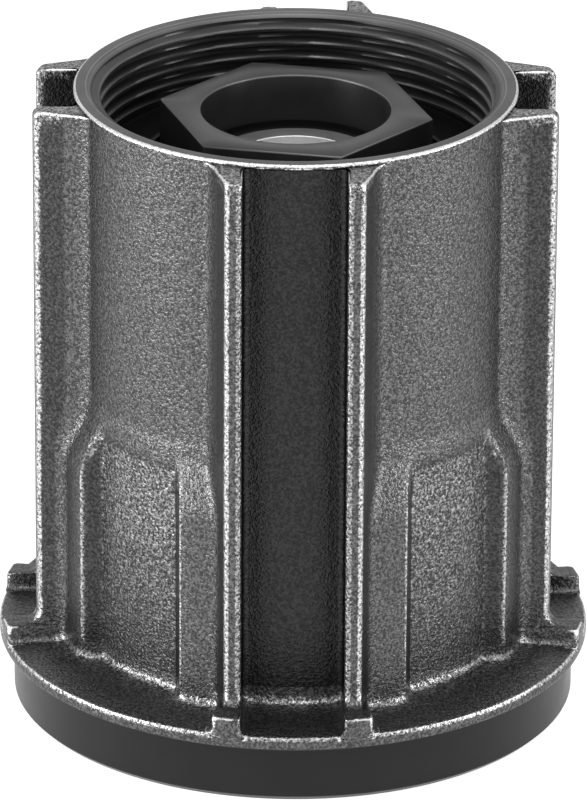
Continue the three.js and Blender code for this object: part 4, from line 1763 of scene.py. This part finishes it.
@dataclass
class BallBearing:
    """One cartridge bearing: two grooved rings, a cage, its balls and two seals."""

    prefix: str
    bore: float = 6.05
    outer: float = 12.0
    pitch: float = 9.0
    land_reach: float = 0.9
    groove: float = 1.8375
    groove_steps: int = 12
    ball: float = 1.5875
    balls: int = 10
    ring_edge: float = 0.3
    ring_corner_deg: float = 75.0
    cage_gap: float = 0.3
    cage_edge: float = 0.12
    hole_steps: int = 32
    seal_gap: float = 0.3
    seal_fit: float = 0.05
    seal_rim: float = 0.35
    seal_dish: float = 0.15
    seal_edge: float = 0.04
    seal_corner_deg: float = 30.0
    seal_rim_share: float = 0.7
    ball_smooth_deg: float = 80.0

    def middle(self) -> float:
        """Height of the balls' centres."""
        return sum(heights(f"{self.prefix}_outer_ring")) / 2

    def groove_arc(self, outwards: float) -> list[tuple[float, float]]:
        """The ball groove from low to high, outside (1) or inside (-1) the balls.

        Args:
            outwards: 1 for the outer ring's groove and -1 for the inner ring's.

        Returns:
            Radius and height of each point.
        """
        span = math.acos(self.land_reach / self.groove)
        points = []
        for i in range(self.groove_steps + 1):
            angle = span * (2 * i / self.groove_steps - 1)
            radius = self.pitch + outwards * self.groove * math.cos(angle)
            points.append((radius, self.middle() + self.groove * math.sin(angle)))
        return points

    def outer_ring(self) -> bmesh.types.BMesh:
        """Makes the outer ring.

        Returns:
            The closed shape.
        """
        low, high = heights(f"{self.prefix}_outer_ring")
        land = self.pitch + self.land_reach
        groove = self.groove_arc(1.0)[::-1]
        bm = turned([(land, low), (self.outer, low), (self.outer, high), (land, high), *groove])
        soften(bm, self.ring_edge, self.ring_corner_deg)
        mark_wear(bm)
        return bm

    def inner_ring(self) -> bmesh.types.BMesh:
        """Makes the inner ring.

        Returns:
            The closed shape.
        """
        low, high = heights(f"{self.prefix}_inner_ring")
        land = self.pitch - self.land_reach
        groove = self.groove_arc(-1.0)
        bm = turned([(self.bore, low), (land, low), *groove, (land, high), (self.bore, high)])
        soften(bm, self.ring_edge, self.ring_corner_deg)
        mark_wear(bm)
        return bm

    def seal(self, node: str, outward: float) -> bmesh.types.BMesh:
        """Makes a seal whose outward face is dished.

        Args:
            node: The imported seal.
            outward: 1 where that face looks up and -1 where it looks down.

        Returns:
            The seal.
        """
        low, high = heights(node)
        face, back = (high, low) if outward > 0 else (low, high)
        inner = self.pitch - self.land_reach + self.seal_gap
        outer = self.pitch + self.land_reach - self.seal_fit
        rim, dished = self.seal_rim, face - outward * self.seal_dish
        bm = turned(
            [
                (inner, back),
                (inner, face),
                (inner + self.seal_rim_share * rim, face),
                (inner + rim, dished),
                (outer - rim, dished),
                (outer - self.seal_rim_share * rim, face),
                (outer, face),
                (outer, back),
            ]
        )
        soften(bm, self.seal_edge, self.seal_corner_deg, 2)
        return bm

    def ball_centre(self, index: int) -> Vector:
        """Centre of a ball in metres.

        Args:
            index: Which ball it is, from 0.

        Returns:
            Its centre.
        """
        angle = FULL_TURN * index / self.balls
        place = (self.pitch * math.cos(angle), self.pitch * math.sin(angle), self.middle())
        return Vector(place) * MM

    def steel_ball(self, index: int) -> bmesh.types.BMesh:
        """Makes one ball.

        Args:
            index: Which ball it is, from 0.

        Returns:
            The closed shape.
        """
        bm = bmesh.new()
        place = Matrix.Translation(self.ball_centre(index))
        bmesh.ops.create_icosphere(bm, subdivisions=4, radius=self.ball * MM, matrix=place)
        return bm

    def cage(self) -> bmesh.types.BMesh:
        """Makes the cage: a plate with a round pocket for each ball, bent round the axis.

        Returns:
            The closed shape.
        """
        inner = self.pitch - self.land_reach + self.cage_gap
        outer = self.pitch + self.land_reach - self.cage_gap
        low, high = heights(f"{self.prefix}_cage")
        half_width, half_height = math.pi * self.pitch / self.balls, (high - low) / 2
        bm = bmesh.new()
        for index in range(self.balls):
            steps = self.hole_steps
            hole = bmesh.ops.create_circle(bm, segments=steps, radius=self.groove)["verts"]
            border = bmesh.ops.create_circle(bm, segments=steps, radius=1.0)["verts"]
            for vert in border:
                reach = max(abs(vert.co.x), abs(vert.co.y))
                vert.co.x *= half_width / reach
                vert.co.y *= half_height / reach
            loops = list({edge for vert in hole + border for edge in vert.link_edges})
            bmesh.ops.bridge_loops(bm, edges=loops)
            for vert in hole + border:
                angle = vert.co.x / self.pitch + FULL_TURN * index / self.balls
                height = self.middle() + vert.co.y
                vert.co = Vector((outer * math.cos(angle), outer * math.sin(angle), height)) * MM
        bmesh.ops.remove_doubles(bm, verts=bm.verts, dist=WELD)
        made = bmesh.ops.extrude_face_region(bm, geom=bm.faces[:])["geom"]
        moved = [part for part in made if isinstance(part, bmesh.types.BMVert)]
        bmesh.ops.scale(bm, verts=moved, vec=(inner / outer, inner / outer, 1))
        bmesh.ops.recalc_face_normals(bm, faces=bm.faces)
        soften(bm, self.cage_edge)
        return bm

    def fit(self, shop: Workshop) -> None:
        """Makes every piece of the bearing.

        Args:
            shop: Where the pieces are finished.
        """
        name = self.prefix
        shop.stand_in(self.outer_ring(), f"{name}_outer_race", f"{name}_outer_ring")
        shop.stand_in(self.inner_ring(), f"{name}_inner_race", f"{name}_inner_ring")
        for side, outward in (("lower", -1.0), ("upper", 1.0)):
            node = f"{name}_seal_{side}"
            shop.stand_in(self.seal(node, outward), f"{name}_rubber_seal_{side}", node)
        shop.stand_in(self.cage(), f"{name}_ball_cage", f"{name}_cage")
        for index in range(self.balls):
            node = f"{name}_ball_{index + 1}"
            ball = f"{name}_steel_ball_{index + 1}"
            shop.stand_in(self.steel_ball(index), ball, node, self.ball_smooth_deg)


@dataclass
class RetainingRing:
    """The open spring ring with two ears that holds the bearings in."""

    node: str = "retaining_ring"
    outer: float = 12.7
    inner: float = 11.1
    half_gap_deg: float = 22.0
    ear: float = 1.2
    hole: float = 0.5
    edge: float = 0.12
    arc_steps: int = 72
    ear_steps: int = 24

    def ear_loop(self, side: float, radius: float, turn: float) -> list[tuple[float, float]]:
        """Plan points round an ear's centre, from its outer side round the gap.

        Args:
            side: 1 for the ear after the gap and -1 for the one before it.
            radius: The loop's radius.
            turn: How far the loop goes, in degrees.

        Returns:
            Plan points.
        """
        centre = Vector(plan(self.inner, side * self.half_gap_deg))
        outwards = centre.normalized()
        across = Vector((outwards.y, -outwards.x)) * side
        points = []
        for i in range(self.ear_steps + 1):
            angle = math.radians(turn * i / self.ear_steps)
            spot = centre + radius * (outwards * math.cos(angle) + across * math.sin(angle))
            points.append((spot.x, spot.y))
        return points

    def build(self) -> bmesh.types.BMesh:
        """Makes the ring from its plan outline and the two ear holes.

        Returns:
            The closed shape.
        """
        low, high = heights(self.node)
        gap = self.half_gap_deg
        meet = 360 - math.degrees(math.acos(-self.ear / (2 * self.inner)))
        reach = math.degrees(self.ear / self.inner)
        outline = plan_arc(self.outer, gap, 360 - gap, self.arc_steps)
        outline += self.ear_loop(-1.0, self.ear, meet)
        outline += plan_arc(self.inner, 360 - gap - reach, gap + reach, self.arc_steps)[1:-1]
        outline += self.ear_loop(1.0, self.ear, meet)[::-1]
        holes = [self.ear_loop(side, self.hole, 360)[:-1] for side in (-1.0, 1.0)]
        bm = plate([outline, *holes], low, high)
        soften(bm, self.edge, segments=2)
        mark_wear(bm)
        return bm


@dataclass
class Pawls:
    """The three pawls and the leaf spring under each."""

    first_deg: float = -102.0
    count: int = 3
    crown: float = 16.0
    inner: float = 14.2
    nose_deg: float = -25.0
    rake_deg: float = 1.5
    heel: float = 1.35
    heel_place: float = 14.55
    edge: float = 0.16
    corner_deg: float = 50.0
    spring_floor: float = 13.35
    spring_end: float = 13.83
    spring_start_deg: float = -8.0
    spring_end_deg: float = -22.0
    spring_thickness: float = 0.22
    spring_edge: float = 0.06
    steps: int = 20

    def lever(self, node: str, turn: float) -> bmesh.types.BMesh:
        """Makes one pawl: a curved lever that runs into its round heel.

        Args:
            node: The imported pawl.
            turn: Its heel's azimuth in degrees.

        Returns:
            The pawl.
        """
        low, high = heights(node)
        squares = self.inner**2 - self.heel_place**2 - self.heel**2
        meet = 360 - math.degrees(math.acos(squares / (2 * self.heel_place * self.heel)))
        outline = plan_arc(self.crown, turn + self.nose_deg, turn, self.steps)
        centre = Vector(plan(self.heel_place, turn))
        outwards = centre.normalized()
        across = Vector((-outwards.y, outwards.x))
        for i in range(self.steps + 1):
            angle = math.radians(meet) * i / self.steps
            spot = centre + self.heel * (outwards * math.cos(angle) + across * math.sin(angle))
            outline.append((spot.x, spot.y))
        start = math.degrees(math.atan2(outline[-1][0], -outline[-1][1]))
        start = turn - ((turn - start) % 360)
        outline += plan_arc(self.inner, start, turn + self.nose_deg + self.rake_deg, self.steps)[1:]
        bm = plate([outline], low, high)
        soften(bm, self.edge, self.corner_deg)
        mark_wear(bm)
        return bm

    def leaf(self, node: str, turn: float) -> bmesh.types.BMesh:
        """Makes one leaf spring, which rises towards the pawl's nose.

        Args:
            node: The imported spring.
            turn: The azimuth of its pawl's heel in degrees.

        Returns:
            The spring.
        """
        low, high = heights(node)
        lower, upper = [], []
        for i in range(self.steps + 1):
            share = i / self.steps
            degrees = self.spring_start_deg + (self.spring_end_deg - self.spring_start_deg) * share
            radius = self.spring_floor + (self.spring_end - self.spring_floor) * share
            lower.append(plan(radius, turn + degrees))
            upper.append(plan(radius + self.spring_thickness, turn + degrees))
        bm = plate([lower + upper[::-1]], low, high)
        soften(bm, self.spring_edge, segments=2)
        return bm

    def fit(self, shop: Workshop) -> None:
        """Makes every pawl and spring.

        Args:
            shop: Where the pieces are finished.
        """
        for index in range(self.count):
            turn = self.first_deg + 360 / self.count * index
            pawl, spring = f"pawl_{index + 1}", f"pawl_spring_{index + 1}"
            shop.stand_in(self.lever(pawl, turn), f"{pawl}_lever", pawl)
            shop.stand_in(self.leaf(spring, turn), f"{spring}_leaf", spring)


@dataclass(frozen=True)
class Lamp:
    """A soft box, with its place and size in metres and its power in watts."""

    name: str
    place: tuple[float, float, float]
    size: tuple[float, float]
    power: float


LAMPS = (
    Lamp("left_box", (-0.42, -0.15, 0.1), (0.24, 0.2), 1.7),
    Lamp("right_box", (0.43, -0.13, 0.08), (0.22, 0.18), 1.05),
    Lamp("top_box", (0.0, -0.2, 0.47), (0.45, 0.25), 1.1),
)


class Studio:
    """The camera at the photograph's view, the lamps and the floor."""

    def __init__(self) -> None:
        """Sets the photograph's frame, in its own pixels, and the solved camera."""
        self.image_height = 800
        self.focal_pixels = 7763.7
        self.sensor = 36.0
        self.elevation = math.radians(23.161)
        self.roll = math.radians(0.32)
        self.distance = 521.2
        self.target = Vector((-0.047, 0.0, 20.668))
        self.ambient = 0.1
        self.floor_glow = 0.85
        self.floor_paint = (0.85, 0.85, 0.85, 1)
        self.floor_half = 3.0
        self.clip = (0.01, 20.0)
        self.lamps_aim = Vector((0, 0, 0.02))

    def camera(self) -> None:
        """Places the camera."""
        data = bpy.data.cameras.new("view")
        data.sensor_fit = "AUTO"
        data.sensor_width = self.sensor
        data.lens = self.focal_pixels * self.sensor / self.image_height
        data.clip_start, data.clip_end = self.clip
        back = Vector((0, -math.cos(self.elevation), math.sin(self.elevation)))
        right = Vector((1, 0, 0))
        up = back.cross(right)
        turned_right = right * math.cos(self.roll) + up * math.sin(self.roll)
        turned_up = up * math.cos(self.roll) - right * math.sin(self.roll)
        place = (self.target + back * self.distance) * MM
        axes = Matrix((turned_right, turned_up, back)).transposed().to_4x4()
        view = bpy.data.objects.new("view", data)
        view.matrix_world = Matrix.Translation(place) @ axes
        bpy.context.scene.collection.objects.link(view)
        bpy.context.scene.camera = view

    def lamp(self, box: Lamp) -> None:
        """Adds a soft box that looks at the object's middle.

        Args:
            box: The lamp's values.
        """
        data = bpy.data.lights.new(box.name, "AREA")
        data.shape = "RECTANGLE"
        data.size, data.size_y = box.size
        data.energy = box.power
        lamp = bpy.data.objects.new(box.name, data)
        lamp.location = box.place
        aim = self.lamps_aim - lamp.location
        lamp.rotation_euler = aim.to_track_quat("-Z", "Y").to_euler()
        bpy.context.scene.collection.objects.link(lamp)

    def seen_share(
        self, nodes: bpy.types.Nodes, links: bpy.types.NodeLinks
    ) -> bpy.types.NodeSocket:
        """Adds the share, 0 or 1, of the rays that show the white background.

        Args:
            nodes: The node tree's nodes.
            links: The node tree's links.

        Returns:
            The socket that carries the share.
        """
        path = nodes.new("ShaderNodeLightPath")
        total = path.outputs["Is Camera Ray"]
        for name in ("Is Glossy Ray", "Is Transmission Ray"):
            both = nodes.new("ShaderNodeMath")
            both.operation = "MAXIMUM"
            links.new(total, both.inputs[0])
            links.new(path.outputs[name], both.inputs[1])
            total = both.outputs[0]
        return total

    def world(self) -> None:
        """Lights the room softly and shows it white to the camera, metal and glass."""
        world = bpy.data.worlds.new("room")
        bpy.context.scene.world = world
        world.use_nodes = True
        nodes, links = world.node_tree.nodes, world.node_tree.links
        nodes.clear()
        output = nodes.new("ShaderNodeOutputWorld")
        ground = nodes.new("ShaderNodeBackground")
        ground.inputs["Strength"].default_value = self.ambient
        white = nodes.new("ShaderNodeBackground")
        white.inputs["Strength"].default_value = 1.0
        for shade in (ground, white):
            shade.inputs["Color"].default_value = (1, 1, 1, 1)
        mix = nodes.new("ShaderNodeMixShader")
        links.new(self.seen_share(nodes, links), mix.inputs[0])
        links.new(ground.outputs[0], mix.inputs[1])
        links.new(white.outputs[0], mix.inputs[2])
        links.new(mix.outputs[0], output.inputs[0])

    def floor(self) -> None:
        """Lays the white floor."""
        bm = bmesh.new()
        bmesh.ops.create_grid(bm, x_segments=1, y_segments=1, size=self.floor_half)
        mesh = bpy.data.meshes.new("floor")
        bm.to_mesh(mesh)
        bm.free()
        floor = bpy.data.objects.new("floor", mesh)
        bpy.context.scene.collection.objects.link(floor)
        material = bpy.data.materials.new("floor_white")
        material.use_nodes = True
        nodes, links = material.node_tree.nodes, material.node_tree.links
        nodes.clear()
        output = nodes.new("ShaderNodeOutputMaterial")
        paint = nodes.new("ShaderNodeBsdfDiffuse")
        paint.inputs["Color"].default_value = self.floor_paint
        glow = nodes.new("ShaderNodeEmission")
        seen = nodes.new("ShaderNodeMath")
        seen.operation = "MULTIPLY"
        seen.inputs[1].default_value = self.floor_glow
        links.new(self.seen_share(nodes, links), seen.inputs[0])
        links.new(seen.outputs[0], glow.inputs["Strength"])
        both = nodes.new("ShaderNodeAddShader")
        links.new(paint.outputs[0], both.inputs[0])
        links.new(glow.outputs[0], both.inputs[1])
        links.new(both.outputs[0], output.inputs[0])
        mesh.materials.append(material)

    def set_up(self) -> None:
        """Makes the whole studio."""
        self.camera()
        self.world()
        self.floor()
        for box in LAMPS:
            self.lamp(box)
        bpy.context.scene.view_settings.view_transform = "Standard"


def main() -> None:
    """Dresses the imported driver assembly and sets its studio."""
    logging.basicConfig(level=logging.INFO, format="%(name)s %(message)s")
    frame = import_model()
    Studio().set_up()
    shop = Workshop(frame)
    shop.stand_in(DriverShell().build(), "driver_shell", "driver_body")
    shop.stand_in(DriverSkirt().build(), "driver_skirt", "driver_body")
    shop.stand_in(RatchetRing().build(), "black_ring", "ratchet_ring")
    shop.stand_in(EndNut().build(), "hexagon_nut", "end_nut")
    shop.stand_in(AxleSleeve().build(), "hollow_sleeve", "axle_sleeve")
    shop.stand_in(RetainingRing().build(), "spring_retainer", "retaining_ring")
    Pawls().fit(shop)
    for prefix in ("inboard_bearing", "outboard_bearing"):
        BallBearing(prefix).fit(shop)
    for name, ring in (
        ("outer_distance_tube", PlainRing("outer_spacer", inner=10.9, outer=12.0)),
        ("inner_distance_tube", PlainRing("inner_spacer", inner=6.05, outer=7.55)),
        ("flat_washer", PlainRing("nut_washer", inner=6.05, outer=8.6, edge=0.12)),
        ("inboard_lip_seal", LipSeal("inboard_seal", inner=7.9, outer=12.0)),
        ("outboard_lip_seal", LipSeal("outboard_seal", inner=8.9, outer=10.15, rim=0.3)),
    ):
        shop.stand_in(ring.build(), name, ring.node)


if __name__ == "__main__":
    main()
